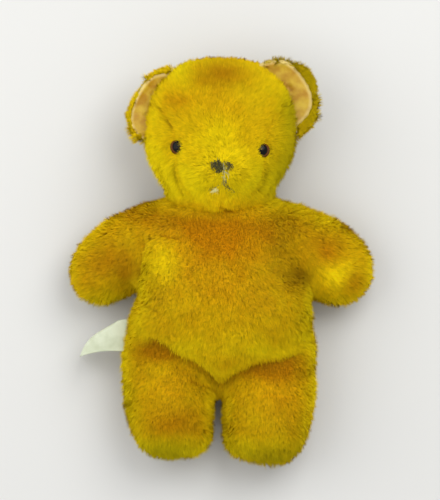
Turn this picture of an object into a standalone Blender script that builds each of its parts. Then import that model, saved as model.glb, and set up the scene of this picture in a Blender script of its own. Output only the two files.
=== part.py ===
"""A stuffed plush bear with a sewn-on head, lying on its back as it rests when it is put down.

+Z is up and out of the bear's belly, +Y runs from the feet to the head and +X to the right of
someone who looks down at its face. The origin is the bottom centre of the whole bear's box.
The plush is drawn at the height of its worn pile, so each panel is a wall of backing and pile.
"""

import math

import bmesh
import bpy
from mathutils import Matrix, Vector
from mathutils.bvhtree import BVHTree

# Cloth and filling, in metres
PLUSH_WALL = 0.0035
SEAM_GAP = 0.0003
STUFFING_GAP = 0.0006

# The grain of the rounded forms: the grid they are made on, and how far it is thinned
FORM_GRID = 0.0032
FORM_KEPT = 0.080
WALL_KEPT = 0.050
SOFTENING = 6
ROUND_STEPS = 16

# Edges that turn by more than this many degrees are shaded sharp
SHARP_ANGLE = 50.0

# How far a sheet or a block that cuts the forms reaches past them
FAR = 0.3
SEAM_SHEET_PARTS = 45

# Torso: half distances from its middle line, heights above the ground, and places along Y
TORSO_HEIGHT = 0.034
CHEST_HALF_WIDTH = 0.058
CHEST_Y = 0.036
CHEST_ROUND = 0.034
CHEST_DEPTH = 0.031
BELLY_HALF_WIDTH = 0.0635
BELLY_Y = -0.006
BELLY_ROUND = 0.035
BELLY_DEPTH = 0.0375
TUMMY_Y = 0.010
TUMMY_ROUND = 0.046
TUMMY_DEPTH = 0.0395
SEAT_Y = -0.029
SEAT_ROUND = 0.0245
SEAT_DEPTH = 0.034
NECK_HALF_WIDTH = 0.038
NECK_Y = 0.055
NECK_ROUND = 0.019
NECK_DEPTH = 0.027

# Arms, cut in one with the body: the left one is held a little higher than the right one
SHOULDER_HEIGHT = 0.030
SHOULDER_ROUND = 0.025
SHOULDER_DEPTH = 0.026
ARM_HEIGHT = 0.023
ARM_DEPTH = 0.0225
PAW_HEIGHT = 0.0200
PAW_DEPTH = 0.0208
ARMS = {
    "left": {"shoulder": (-0.040, 0.043), "elbow": (-0.064, 0.036), "paw": (-0.0805, 0.0175),
             "elbow_round": 0.0228, "paw_round": 0.0215},
    "right": {"shoulder": (0.040, 0.042), "elbow": (0.065, 0.034), "paw": (0.0793, 0.0190),
              "elbow_round": 0.0238, "paw_round": 0.0230},
}

# Legs, also cut in one with the body: short, blunt and nearly as broad as long
LEG_HEIGHT = 0.0258
THIGH_DEPTH = 0.0250
FOOT_DEPTH = 0.0275
INSTEP_DEPTH = 0.0225
LEGS = {
    "left": {"thigh": (-0.0400, -0.034), "inner": (-0.0190, -0.055), "foot": (-0.0400, -0.0810),
             "toe": (-0.0210, -0.0930), "foot_round": 0.0252},
    "right": {"thigh": (0.0385, -0.034), "inner": (0.0178, -0.055), "foot": (0.0385, -0.0850),
              "toe": (0.0148, -0.0945), "foot_round": 0.0262},
}
THIGH_ROUND = 0.0265
INNER_THIGH_ROUND = 0.0155
KNEE_DEPTH = 0.0275
CROTCH_Y = -0.053
CROTCH_ROUND = 0.011
CROTCH_DEPTH = 0.017
TOE_ROUND = 0.0125

# The side seam follows the thickest part of each limb, and climbs to the torso between these
ARM_SEAM_RUN = (0.040, 0.078)
LEG_SEAM_RUN = (0.040, 0.078)

# Head: a broad round form with a short muzzle low on its face
HEAD_Y = 0.1115
HEAD_HEIGHT = 0.041
HEAD_HALF_WIDTH = 0.0505
HEAD_HALF_LENGTH = 0.0528
HEAD_ROUND = 0.0435
HEAD_DEPTH = 0.0430
CROWN_DEPTH = 0.0450
MUZZLE_DROP = 0.0240
MUZZLE_HEIGHT = 0.0600
MUZZLE_HALF_WIDTH = 0.0275
MUZZLE_ROUND = 0.0190
MUZZLE_DEPTH = 0.0320
CHIN_DROP = 0.0330
CHIN_ROUND = 0.0170
CHIN_DEPTH = 0.0270

# The seam round the middle panel of the face, as its outline's right half: how far out from the
# middle line, and how far above the middle of the head
GUSSET_EDGE = (
    (0.0000, -0.0450), (0.0130, -0.0430), (0.0225, -0.0370), (0.0268, -0.0290), (0.0288, -0.0190),
    (0.0300, -0.0080), (0.0305, 0.0020), (0.0370, 0.0150), (0.0600, 0.0240), (0.0900, 0.0280),
)

# Ears: cupped flaps of plush, lined with satin, caught in the seam between face and back
EAR_SQUARENESS = 2.5
EAR_THICKNESS = 0.0052
EAR_CUP = 0.0085
EAR_SIT = 0.0450
EAR_LEAN = 12.0
LINING_THICKNESS = 0.0010
LINING_SHARE = 0.80
LINING_GAP = 0.0005
EARS = {
    "left": {"angle": 154.0, "half_chord": 0.0275, "reach": 0.0190},
    "right": {"angle": 30.0, "half_chord": 0.0285, "reach": 0.0245},
}

# Eyes: moulded plastic domes on stems, locked behind the plush by a washer each
EYE_RADIUS = 0.0048
EYE_DOME = 0.0030
EYE_RIM = 0.0006
EYE_SINK = 0.0016
EYE_STEM_RADIUS = 0.0016
EYE_STEM_LENGTH = 0.0090
EYE_CLEARANCE = 0.0003
EYE_DOME_PARTS = 5
SOCKET_TOP = 0.0200
WASHER_RADIUS = 0.0055
WASHER_THICKNESS = 0.0012
WASHER_BACKSET = 0.0032
EYES = {"left": (-0.0305, -0.0080), "right": (0.0290, -0.0102)}

# Nose and mouth: thick cotton, worn away in places
THREAD_RADIUS = 0.0008
THREAD_PITCH = 0.0014
NOSE_DROP = 0.0208
NOSE_STITCHES = (
    (0.0030, 0.0012), (0.0046, 0.0008), (0.0058, 0.0004), (0.0066, 0.0000), (0.0064, 0.0002),
    (0.0056, 0.0006), (0.0036, 0.0014), (0.0022, 0.0018), (0.0032, -0.0002), (0.0042, -0.0008),
    (0.0032, -0.0010),
)
NOSE_LEFT = -0.0072
MOUTH_X = 0.0006
MOUTH_TOP = 0.0255
MOUTH_FORK = 0.0325
MOUTH_ENDS = ((-0.0118, -0.0375), (0.0095, -0.0390))

# The care label: a satin ribbon caught in the side seam at the left hip
LABEL_SEAM_X = 0.0640
LABEL_TOP_Y = -0.0130
LABEL_WIDTH = 0.0215
LABEL_LENGTH = 0.0290
LABEL_THICKNESS = 0.0006
LABEL_TUCK = 0.0040
LABEL_DROP = 0.0160
LABEL_SWING = 0.0060
LABEL_SAG = 0.0020
LABEL_CURL_IN = 0.0040
LABEL_CURL_SHORTENS = 0.28
LABEL_COLUMNS = 8
LABEL_ROWS = 5
LABEL_GAP = 0.0003

# Colours of the materials: colour, roughness and metallic value
GOLD_PLUSH = ((0.56, 0.33, 0.010), 0.9, 0.0)
SATIN = ((0.62, 0.42, 0.10), 0.45, 0.0)
FILLING = ((0.80, 0.78, 0.72), 0.95, 0.0)
EYE_PLASTIC = ((0.020, 0.012, 0.006), 0.12, 0.0)
WASHER_PLASTIC = ((0.75, 0.75, 0.72), 0.5, 0.0)
DARK_THREAD = ((0.055, 0.055, 0.020), 0.8, 0.0)
RIBBON = ((0.66, 0.70, 0.55), 0.5, 0.0)

SIDES = {"left": -1.0, "right": 1.0}


def clear_scene():
    for item in list(bpy.data.objects):
        bpy.data.objects.remove(item)


def new_collection(name):
    made = bpy.data.collections.new(name)
    bpy.context.scene.collection.children.link(made)
    return made


def object_from(name, mesh, collection):
    made = bpy.data.objects.new(name, mesh)
    collection.objects.link(made)
    return made


def object_from_bmesh(name, bm, collection):
    mesh = bpy.data.meshes.new(name)
    bm.to_mesh(mesh)
    bm.free()
    return object_from(name, mesh, collection)


def bake(item):
    """Makes the evaluated shape the object's own mesh, and drops its modifiers."""
    bpy.context.view_layer.update()
    evaluated = item.evaluated_get(bpy.context.evaluated_depsgraph_get())
    mesh = bpy.data.meshes.new_from_object(evaluated)
    if item.type == "CURVE":
        made = object_from(item.name + "_mesh", mesh, item.users_collection[0])
        made.matrix_world = item.matrix_world
        bpy.data.objects.remove(item)
        return made
    item.modifiers.clear()
    item.data = mesh
    return item


def faced_out(item):
    """Makes a closed shape all of flat triangles that face outward."""
    bm = bmesh.new()
    bm.from_mesh(item.data)
    bmesh.ops.remove_doubles(bm, verts=bm.verts[:], dist=0.000001)
    bmesh.ops.triangulate(bm, faces=bm.faces[:])
    bmesh.ops.recalc_face_normals(bm, faces=bm.faces[:])
    if bm.calc_volume(signed=True) < 0.0:
        bmesh.ops.reverse_faces(bm, faces=bm.faces[:])
    bm.to_mesh(item.data)
    bm.free()
    return item


def boolean(item, other, operation):
    """Adds or takes away a shape. The manifold solver keeps the thin panels whole at a seam."""
    modifier = item.modifiers.new(operation.title(), "BOOLEAN")
    modifier.operation = operation
    modifier.solver = "MANIFOLD"
    modifier.object = other
    return bake(item)


def copy_of(item, name, collection):
    made = object_from(name, item.data.copy(), collection)
    made.matrix_world = item.matrix_world
    return made


def remove(*items):
    for item in items:
        bpy.data.objects.remove(item)


def box(name, low, high, collection):
    bm = bmesh.new()
    low, high = Vector(low), Vector(high)
    size = Matrix.Diagonal((*(high - low), 1.0))
    bmesh.ops.create_cube(bm, size=1.0, matrix=Matrix.Translation((low + high) / 2) @ size)
    return object_from_bmesh(name, bm, collection)


# Rounded forms, each a group of swollen lobes with the skin stretched round them

def lobe(x, y, z, across, along, deep):
    return Vector((x, y, z)), Vector((across, along, deep))


def pair(x, *rest):
    return [lobe(-x, *rest), lobe(x, *rest)]


def torso_groups():
    chest = pair(CHEST_HALF_WIDTH - CHEST_ROUND, CHEST_Y, TORSO_HEIGHT,
                 CHEST_ROUND, CHEST_ROUND, CHEST_DEPTH)
    belly = pair(BELLY_HALF_WIDTH - BELLY_ROUND, BELLY_Y, TORSO_HEIGHT,
                 BELLY_ROUND, BELLY_ROUND, BELLY_DEPTH)
    seat = [lobe(0.0, SEAT_Y, TORSO_HEIGHT, SEAT_ROUND, SEAT_ROUND, SEAT_DEPTH)]
    tummy = [lobe(0.0, TUMMY_Y, TORSO_HEIGHT, TUMMY_ROUND, TUMMY_ROUND, TUMMY_DEPTH)]
    neck = pair(NECK_HALF_WIDTH - NECK_ROUND, NECK_Y, TORSO_HEIGHT,
                NECK_ROUND, NECK_ROUND, NECK_DEPTH)
    return [chest + belly + tummy + seat, chest + neck]


def arm_group(side):
    arm = ARMS[side]
    return [
        lobe(*arm["shoulder"], SHOULDER_HEIGHT, SHOULDER_ROUND, SHOULDER_ROUND, SHOULDER_DEPTH),
        lobe(*arm["elbow"], ARM_HEIGHT, arm["elbow_round"], arm["elbow_round"], ARM_DEPTH),
        lobe(*arm["paw"], PAW_HEIGHT, arm["paw_round"], arm["paw_round"], PAW_DEPTH),
    ]


def leg_group(side):
    leg = LEGS[side]
    knee_x = (leg["thigh"][0] + leg["foot"][0] + leg["inner"][0] + leg["toe"][0]) / 4
    knee_y = (leg["thigh"][1] + leg["foot"][1]) / 2
    return [
        lobe(knee_x, knee_y, LEG_HEIGHT, INSTEP_DEPTH, THIGH_ROUND, KNEE_DEPTH),
        lobe(*leg["thigh"], LEG_HEIGHT, THIGH_ROUND, THIGH_ROUND, THIGH_DEPTH),
        lobe(*leg["inner"], LEG_HEIGHT, INNER_THIGH_ROUND, INNER_THIGH_ROUND, INSTEP_DEPTH),
        lobe(*leg["foot"], LEG_HEIGHT, leg["foot_round"], leg["foot_round"], FOOT_DEPTH),
        lobe(*leg["toe"], LEG_HEIGHT, TOE_ROUND, TOE_ROUND, INSTEP_DEPTH),
    ]


def body_groups():
    limbs = [arm_group(side) for side in SIDES] + [leg_group(side) for side in SIDES]
    crotch = [lobe(0.0, CROTCH_Y, LEG_HEIGHT, CROTCH_ROUND, CROTCH_ROUND, CROTCH_DEPTH)]
    return torso_groups() + limbs + [crotch]


def head_groups():
    out = HEAD_HALF_WIDTH - HEAD_ROUND
    up = HEAD_HALF_LENGTH - HEAD_ROUND
    skull = (
        pair(out, HEAD_Y + up, HEAD_HEIGHT, HEAD_ROUND, HEAD_ROUND, HEAD_DEPTH)
        + pair(out, HEAD_Y - up, HEAD_HEIGHT, HEAD_ROUND, HEAD_ROUND, HEAD_DEPTH)
    )
    crown = [lobe(0.0, HEAD_Y + up, HEAD_HEIGHT, HEAD_ROUND, HEAD_ROUND, CROWN_DEPTH)]
    muzzle = pair(MUZZLE_HALF_WIDTH - MUZZLE_ROUND, HEAD_Y - MUZZLE_DROP, MUZZLE_HEIGHT,
                  MUZZLE_ROUND, MUZZLE_ROUND, MUZZLE_DEPTH)
    chin = [lobe(0.0, HEAD_Y - CHIN_DROP, MUZZLE_HEIGHT, CHIN_ROUND, CHIN_ROUND, CHIN_DEPTH)]
    return [skull + crown, muzzle + chin]


def add_lump(whole, lobes, inset):
    """Adds the skin stretched round these lobes, each made smaller all round by inset."""
    bm = bmesh.new()
    for centre, radii in lobes:
        smaller = [r - inset for r in radii]
        place = Matrix.Translation(centre) @ Matrix.Diagonal((*smaller, 1.0))
        bmesh.ops.create_uvsphere(bm, u_segments=24, v_segments=16, radius=1.0, matrix=place)
    hull = bmesh.ops.convex_hull(bm, input=bm.verts[:])
    inside = {g for key in ("geom_interior", "geom_unused") for g in hull[key]
              if isinstance(g, bmesh.types.BMVert)}
    bmesh.ops.delete(bm, geom=list(inside), context="VERTS")
    mesh = bpy.data.meshes.new("lump")
    bm.to_mesh(mesh)
    bm.free()
    whole.from_mesh(mesh)
    bpy.data.meshes.remove(mesh)


def soft_form(name, groups, inset, kept, collection):
    """One closed form round all the groups, flattened where it lies on the ground."""
    bm = bmesh.new()
    for lobes in groups:
        add_lump(bm, lobes, inset)
    form = object_from_bmesh(name, bm, collection)
    skin = form.modifiers.new("Skin", "REMESH")
    skin.mode = "VOXEL"
    skin.voxel_size = FORM_GRID
    soften = form.modifiers.new("Soften", "SMOOTH")
    soften.factor = 0.5
    soften.iterations = SOFTENING
    thin = form.modifiers.new("Thin", "DECIMATE")
    thin.ratio = kept
    bake(form)
    ground = box("ground", (-FAR, -FAR, -FAR), (FAR, FAR, inset), collection)
    boolean(form, ground, "DIFFERENCE")
    remove(ground)
    return form


def swollen(item, by, name, collection):
    """A copy of a form with its surface moved out by a small distance, or in if it is negative."""
    made = copy_of(item, name, collection)
    push = made.modifiers.new("Swell", "DISPLACE")
    push.mid_level = 0.0
    push.strength = by
    return bake(made)


# Seams, each a thin sheet that parts one panel from the next

def smooth_step(value, start, end):
    share = min(1.0, max(0.0, (value - start) / (end - start)))
    return share * share * (3.0 - 2.0 * share)


def side_seam_height(x, y):
    out = smooth_step(abs(x), *ARM_SEAM_RUN)
    height = TORSO_HEIGHT + (PAW_HEIGHT - TORSO_HEIGHT) * out
    down = smooth_step(-y, *LEG_SEAM_RUN)
    return height + (LEG_HEIGHT - height) * down


def side_seam_sheet(collection):
    bm = bmesh.new()
    parts = SEAM_SHEET_PARTS
    bmesh.ops.create_grid(bm, x_segments=parts, y_segments=parts, size=FAR)
    for vertex in bm.verts:
        vertex.co.z = side_seam_height(vertex.co.x, vertex.co.y)
    sheet = object_from_bmesh("side_seam", bm, collection)
    return thickened(sheet, SEAM_GAP)


def thickened(item, thickness):
    solid = item.modifiers.new("Thickness", "SOLIDIFY")
    solid.thickness = thickness
    solid.offset = 0.0
    return faced_out(bake(item))


def upright_seam(name, points, low, high, collection):
    """A thin upright sheet over a line of points in the XY plane."""
    bm = bmesh.new()
    verts = [bm.verts.new((x, y, low)) for x, y in points]
    edges = [bm.edges.new(ends) for ends in zip(verts, verts[1:])]
    raised = bmesh.ops.extrude_edge_only(bm, edges=edges)["geom"]
    for vertex in (g for g in raised if isinstance(g, bmesh.types.BMVert)):
        vertex.co.z = high
    sheet = object_from_bmesh(name, bm, collection)
    return thickened(sheet, SEAM_GAP)


def flat_seam(name, height, collection):
    thick = SEAM_GAP / 2
    return box(name, (-FAR, -FAR, height - thick), (FAR, FAR, height + thick), collection)


def rounded(points, rounds=2):
    """Cuts the corners of a line of points, each time by a quarter of its runs."""
    for _ in range(rounds):
        cut = [points[0]]
        for (ax, ay), (bx, by) in zip(points, points[1:]):
            cut.append((ax * 0.75 + bx * 0.25, ay * 0.75 + by * 0.25))
            cut.append((ax * 0.25 + bx * 0.75, ay * 0.25 + by * 0.75))
        points = cut + [points[-1]]
    return points


def separate_bodies(mesh):
    """The vertex numbers of each separate body in a mesh, the largest body first."""
    bm = bmesh.new()
    bm.from_mesh(mesh)
    left = set(bm.verts)
    bodies = []
    while left:
        start = left.pop()
        body, edge = {start.index}, [start]
        while edge:
            for link in edge.pop().link_edges:
                for vertex in link.verts:
                    if vertex in left:
                        left.remove(vertex)
                        body.add(vertex.index)
                        edge.append(vertex)
        bodies.append(body)
    bm.free()
    return sorted(bodies, key=len, reverse=True)


def cut_in_two(item, seam, axis, names, collection):
    """Cuts a shell along one seam and names its two panels in their order along an axis."""
    boolean(item, seam, "DIFFERENCE")
    panels = []
    for body in separate_bodies(item.data)[:2]:
        bm = bmesh.new()
        bm.from_mesh(item.data)
        others = [v for v in bm.verts if v.index not in body]
        bmesh.ops.delete(bm, geom=others, context="VERTS")
        places = [v.co[axis] for v in bm.verts]
        middle = (min(places) + max(places)) / 2
        panels.append((middle, object_from_bmesh("panel", bm, collection)))
    remove(item, seam)
    panels.sort(key=lambda panel: panel[0])
    for (_, panel), name in zip(panels, names, strict=True):
        panel.name = name
        panel.data.name = name
    return [panel for _, panel in panels]


def shell(outer, inner, name, collection):
    made = copy_of(outer, name, collection)
    return boolean(made, inner, "DIFFERENCE")


# Small parts

def turned(name, profile, place, collection):
    """A solid of revolution about its own Z axis, from a profile of (radius, height) points."""
    bm = bmesh.new()
    verts = [bm.verts.new((radius, 0.0, height)) for radius, height in profile]
    for ends in zip(verts, verts[1:]):
        bm.edges.new(ends)
    if profile[0][0] > 0.0:
        bm.edges.new((verts[-1], verts[0]))
    made = object_from_bmesh(name, bm, collection)
    screw = made.modifiers.new("Turn", "SCREW")
    screw.steps = screw.render_steps = ROUND_STEPS
    screw.use_merge_vertices = True
    screw.merge_threshold = 0.00001
    made.matrix_world = place
    return faced_out(bake(made))


def eye_profile():
    """From the top of the dome to the end of the stem; the rim's underside is at height 0."""
    turns = (math.pi / 2 * i / EYE_DOME_PARTS for i in range(EYE_DOME_PARTS + 1))
    dome = [(EYE_RADIUS * math.sin(a), EYE_RIM + EYE_DOME * math.cos(a)) for a in turns]
    return dome + [
        (EYE_RADIUS, 0.0), (EYE_STEM_RADIUS, 0.0), (EYE_STEM_RADIUS, -EYE_STEM_LENGTH),
        (0.0, -EYE_STEM_LENGTH),
    ]


def washer_profile():
    top = -WASHER_BACKSET
    low = top - WASHER_THICKNESS
    hole = EYE_STEM_RADIUS + EYE_CLEARANCE
    return [(hole, top), (WASHER_RADIUS, top), (WASHER_RADIUS, low), (hole, low)]


def stepped_profile(wide, step, deep):
    """A cutter for a wide bore from far above down to step, then the stem's own bore."""
    top = SOCKET_TOP
    hole = EYE_STEM_RADIUS + EYE_CLEARANCE
    return [(0.0, top), (wide, top), (wide, step), (hole, step), (hole, -deep), (0.0, -deep)]


def surface_frame(tree, x, y):
    """The place on a form straight below (x, y), with its own Z axis out of the surface."""
    point, normal, _, _ = tree.ray_cast(Vector((x, y, 1.0)), Vector((0.0, 0.0, -1.0)))
    turn = normal.to_track_quat("Z", "Y").to_matrix().to_4x4()
    return Matrix.Translation(point) @ turn


def stitch(name, tree, ends, collection, points=4):
    """One thread laid over the muzzle between two places in the XY plane."""
    curve = bpy.data.curves.new(name, "CURVE")
    curve.dimensions = "3D"
    curve.bevel_depth = THREAD_RADIUS
    curve.bevel_resolution = 1
    curve.use_fill_caps = True
    line = curve.splines.new("POLY")
    line.points.add(points - 1)
    start, end = Vector(ends[0]), Vector(ends[1])
    for i, point in enumerate(line.points):
        x, y = start.lerp(end, i / (points - 1))
        place = surface_frame(tree, x, y)
        lift = THREAD_RADIUS + SEAM_GAP
        spot = place.translation + place.to_3x3() @ Vector((0.0, 0.0, lift))
        point.co = (*spot, 1.0)
    return faced_out(bake(object_from(name, curve, collection)))


def sewn(name, threads, parts):
    """Joins threads that lie on each other into one worn piece of embroidery."""
    first, *others = threads
    for other in others:
        boolean(first, other, "UNION")
    remove(*others)
    made = copy_of(first, name, parts)
    remove(first)
    return made


def nose_embroidery(tree, parts, helpers):
    middle = HEAD_Y - NOSE_DROP
    threads = []
    for i, (length, rise) in enumerate(NOSE_STITCHES):
        x = NOSE_LEFT + i * THREAD_PITCH
        ends = ((x, middle + rise + length / 2), (x, middle + rise - length / 2))
        threads.append(stitch(f"nose_{i}", tree, ends, helpers))
    return sewn("nose_embroidery", threads, parts)


def mouth_stitches(tree, parts, helpers):
    fork = (MOUTH_X, HEAD_Y - MOUTH_FORK)
    threads = [stitch("lip", tree, ((MOUTH_X, HEAD_Y - MOUTH_TOP), fork), helpers)]
    for i, (x, drop) in enumerate(MOUTH_ENDS):
        threads.append(stitch(f"lip_{i}", tree, (fork, (x, HEAD_Y + drop)), helpers, 8))
    return sewn("mouth_stitches", threads, parts)


def ear_place(side):
    ear = EARS[side]
    angle = math.radians(ear["angle"])
    out = Vector((math.cos(angle), math.sin(angle), 0.0))
    chord = Vector((out.y, -out.x, 0.0))
    axes = Matrix((chord, out, Vector((0.0, 0.0, 1.0)))).transposed().to_4x4()
    centre = Vector((0.0, HEAD_Y, HEAD_HEIGHT)) + out * EAR_SIT
    lean = Matrix.Rotation(math.radians(-EAR_LEAN), 4, "X")
    return Matrix.Translation(centre) @ axes @ lean


def ear_flap(side, lining, parts):
    """A cupped oval with a rounded rim, or the satin that lies in its hollow."""
    ear = EARS[side]
    share = LINING_SHARE if lining else 1.0
    bm = bmesh.new()
    bmesh.ops.create_uvsphere(bm, u_segments=24, v_segments=8, radius=1.0)
    for vertex in bm.verts:
        x, y, z = vertex.co
        across = math.hypot(x, y)
        if across > 0.0:
            power = abs(x / across) ** EAR_SQUARENESS + abs(y / across) ** EAR_SQUARENESS
            swell = power ** (-1.0 / EAR_SQUARENESS)
        else:
            swell = 1.0
        flat = min(1.0, share * across)
        hollow = EAR_CUP * flat * flat
        if lining:
            front = EAR_THICKNESS / 2 * math.sqrt(1.0 - flat * flat) + LINING_GAP
            deep = hollow + front + (LINING_THICKNESS * z if z > 0.0 else 0.0)
        else:
            deep = hollow + EAR_THICKNESS / 2 * z
        wide = share * swell
        vertex.co = (x * wide * ear["half_chord"], y * wide * ear["reach"], deep)
    name = ("ear_lining_" if lining else "ear_back_") + side
    made = object_from_bmesh(name, bm, parts)
    made.matrix_world = ear_place(side)
    return faced_out(made)


def care_label(parts):
    """A ribbon that leaves the seam level and curls down and away along its upper edge."""
    bm = bmesh.new()
    grid = []
    for i in range(LABEL_COLUMNS + 1):
        along = i / LABEL_COLUMNS
        line = []
        for j in range(LABEL_ROWS + 1):
            across = j / LABEL_ROWS
            length = -LABEL_TUCK + along * (LABEL_LENGTH + LABEL_TUCK)
            free = max(0.0, length) / LABEL_LENGTH
            curl = (1.0 - across) * free
            swing = LABEL_SWING * free * free + LABEL_CURL_IN * curl
            x = -LABEL_SEAM_X - length * (1.0 - LABEL_CURL_SHORTENS * curl * free)
            y = LABEL_TOP_Y - across * LABEL_WIDTH - swing
            z = side_seam_height(x, y) - LABEL_DROP * curl * free - LABEL_SAG * free
            line.append(bm.verts.new((x, y, z)))
        grid.append(line)
    for i in range(LABEL_COLUMNS):
        for j in range(LABEL_ROWS):
            bm.faces.new((grid[i][j], grid[i + 1][j], grid[i + 1][j + 1], grid[i][j + 1]))
    return object_from_bmesh("care_label", bm, parts)


def paint(item, finish):
    colour, roughness, metallic = finish
    material = bpy.data.materials.new(item.name + "_finish")
    material.use_nodes = True
    shader = material.node_tree.nodes["Principled BSDF"]
    shader.inputs["Base Color"].default_value = (*colour, 1.0)
    shader.inputs["Roughness"].default_value = roughness
    shader.inputs["Metallic"].default_value = metallic
    item.data.materials.clear()
    item.data.materials.append(material)
    item.data.shade_smooth()
    item.data.set_sharp_from_angle(angle=math.radians(SHARP_ANGLE))


def centre_on_ground(parts):
    """Moves the finished bear so that the origin is the bottom centre of its box."""
    bpy.context.view_layer.update()
    corners = [item.matrix_world @ vertex.co for item in parts.objects
               for vertex in item.data.vertices]
    middle_x = (min(c.x for c in corners) + max(c.x for c in corners)) / 2
    middle_y = (min(c.y for c in corners) + max(c.y for c in corners)) / 2
    for item in parts.objects:
        item.location -= Vector((middle_x, middle_y, 0.0))


def set_eye(side, place, cloth, stuffing, parts, helpers):
    """Seats one eye in the pile and locks it with a washer behind the cloth."""
    turned("eye_" + side, eye_profile(), place, parts)
    turned("eye_washer_" + side, washer_profile(), place, parts)
    deep = EYE_STEM_LENGTH + EYE_CLEARANCE
    pocket = stepped_profile(EYE_RADIUS + EYE_CLEARANCE, -EYE_CLEARANCE, 2 * deep)
    low = -WASHER_BACKSET - WASHER_THICKNESS - EYE_CLEARANCE
    room = stepped_profile(WASHER_RADIUS + EYE_CLEARANCE, low, deep)
    for items, profile in ((cloth, pocket), ((stuffing,), room)):
        cutter = turned("socket", profile, place, helpers)
        for item in items:
            boolean(item, cutter, "DIFFERENCE")
        remove(cutter)


def face_edge():
    """The whole seam round the middle panel of the face, from the left side to the right."""
    right = [(x, HEAD_Y + y) for x, y in GUSSET_EDGE]
    left = [(-x, y) for x, y in reversed(right[1:])]
    return rounded(left + right)


def part_head(cover, parts, helpers):
    """Parts the head's cover into its panels, and returns those of the face."""
    edge = face_edge()
    below, above = HEAD_Y - 2 * HEAD_HALF_LENGTH, HEAD_Y + 2 * HEAD_HALF_LENGTH
    chin = ((0.0, min(y for _, y in edge) + 2 * SEAM_GAP), (0.0, below))
    round_seam = flat_seam("round_seam", HEAD_HEIGHT, helpers)
    back, face = cut_in_two(cover, round_seam, 2, ("back", "face"), helpers)
    back_seam = upright_seam("back_seam", ((0.0, below), (0.0, above)), -FAR, FAR, helpers)
    cut_in_two(back, back_seam, 0, ("head_back_left", "head_back_right"), parts)
    face_seam = upright_seam("face_seam", edge, 0.0, FAR, helpers)
    cheeks, gusset = cut_in_two(face, face_seam, 1, ("cheeks", "head_gusset"), parts)
    chin_seam = upright_seam("chin_seam", chin, 0.0, FAR, helpers)
    names = ("head_cheek_left", "head_cheek_right")
    left, right = cut_in_two(cheeks, chin_seam, 0, names, parts)
    return {"left": (gusset, left), "right": (gusset, right)}


def build_head(parts, helpers):
    outer = soft_form("head_form", head_groups(), 0.0, FORM_KEPT, helpers)
    inner = soft_form("head_hollow", head_groups(), PLUSH_WALL, WALL_KEPT, helpers)
    tree = BVHTree.FromObject(outer, bpy.context.evaluated_depsgraph_get())
    cover = shell(outer, inner, "head_cover", helpers)
    stuffing = swollen(inner, -STUFFING_GAP, "head_stuffing", parts)
    face = part_head(cover, parts, helpers)
    for side, (x, drop) in EYES.items():
        place = surface_frame(tree, x, HEAD_Y + drop)
        place = place @ Matrix.Translation((0.0, 0.0, -EYE_SINK))
        set_eye(side, place, face[side], stuffing, parts, helpers)
    nose_embroidery(tree, parts, helpers)
    mouth_stitches(tree, parts, helpers)
    remove(inner)
    return outer


def build_ears(head_form, parts, helpers):
    clear = swollen(head_form, SEAM_GAP, "head_clear", helpers)
    for side in SIDES:
        for lining in (False, True):
            boolean(ear_flap(side, lining, parts), clear, "DIFFERENCE")
    remove(clear)


def build_body(head_form, parts, helpers):
    outer = soft_form("body_form", body_groups(), 0.0, FORM_KEPT, helpers)
    inner = soft_form("body_hollow", body_groups(), PLUSH_WALL, WALL_KEPT, helpers)
    clear = swollen(head_form, SEAM_GAP, "head_clear", helpers)
    cover = shell(outer, inner, "body_cover", helpers)
    stuffing = swollen(inner, -STUFFING_GAP, "body_stuffing", parts)
    boolean(cover, clear, "DIFFERENCE")
    boolean(stuffing, clear, "DIFFERENCE")
    side_seam = side_seam_sheet(helpers)
    back, front = cut_in_two(cover, side_seam, 2, ("back", "body_front"), parts)
    back_seam = upright_seam("back_seam", ((0.0, -FAR), (0.0, FAR)), -FAR, FAR, helpers)
    left, _ = cut_in_two(back, back_seam, 0, ("body_back_left", "body_back_right"), parts)
    thickened(care_label(parts), LABEL_THICKNESS)
    slot = thickened(care_label(helpers), LABEL_THICKNESS + 2 * LABEL_GAP)
    for item in (front, left, stuffing):
        boolean(item, slot, "DIFFERENCE")
    remove(outer, inner, clear, slot)


def finish_for(name):
    finishes = (
        ("ear_lining", SATIN), ("stuffing", FILLING), ("washer", WASHER_PLASTIC),
        ("eye", EYE_PLASTIC), ("nose", DARK_THREAD), ("mouth", DARK_THREAD), ("label", RIBBON),
    )
    return next((finish for word, finish in finishes if word in name), GOLD_PLUSH)


def build_bear():
    clear_scene()
    parts = new_collection("teddy_bear")
    helpers = new_collection("helpers")
    head_form = build_head(parts, helpers)
    build_ears(head_form, parts, helpers)
    build_body(head_form, parts, helpers)
    remove(head_form)
    for item in parts.objects:
        paint(item, finish_for(item.name))
    centre_on_ground(parts)


build_bear()
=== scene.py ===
"""A worn gold plush bear, lying on its back and seen from straight above."""

import math

import bmesh
import bpy
import numpy as np
from mathutils import Matrix, Vector, noise
from mathutils.bvhtree import BVHTree
from mathutils.kdtree import KDTree


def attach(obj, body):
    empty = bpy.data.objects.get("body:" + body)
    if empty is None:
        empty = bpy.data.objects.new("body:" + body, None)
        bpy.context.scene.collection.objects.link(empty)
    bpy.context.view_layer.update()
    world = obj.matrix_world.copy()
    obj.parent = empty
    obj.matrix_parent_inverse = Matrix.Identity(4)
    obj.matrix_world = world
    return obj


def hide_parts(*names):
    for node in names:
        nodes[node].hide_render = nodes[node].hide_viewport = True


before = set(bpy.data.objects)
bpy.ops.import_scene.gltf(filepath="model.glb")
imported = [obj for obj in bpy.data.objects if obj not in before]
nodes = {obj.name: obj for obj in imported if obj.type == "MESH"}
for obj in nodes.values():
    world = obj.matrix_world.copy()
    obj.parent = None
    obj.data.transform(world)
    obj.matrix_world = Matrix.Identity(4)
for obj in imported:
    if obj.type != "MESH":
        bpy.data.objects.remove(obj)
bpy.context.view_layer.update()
scene = bpy.context.scene

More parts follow.
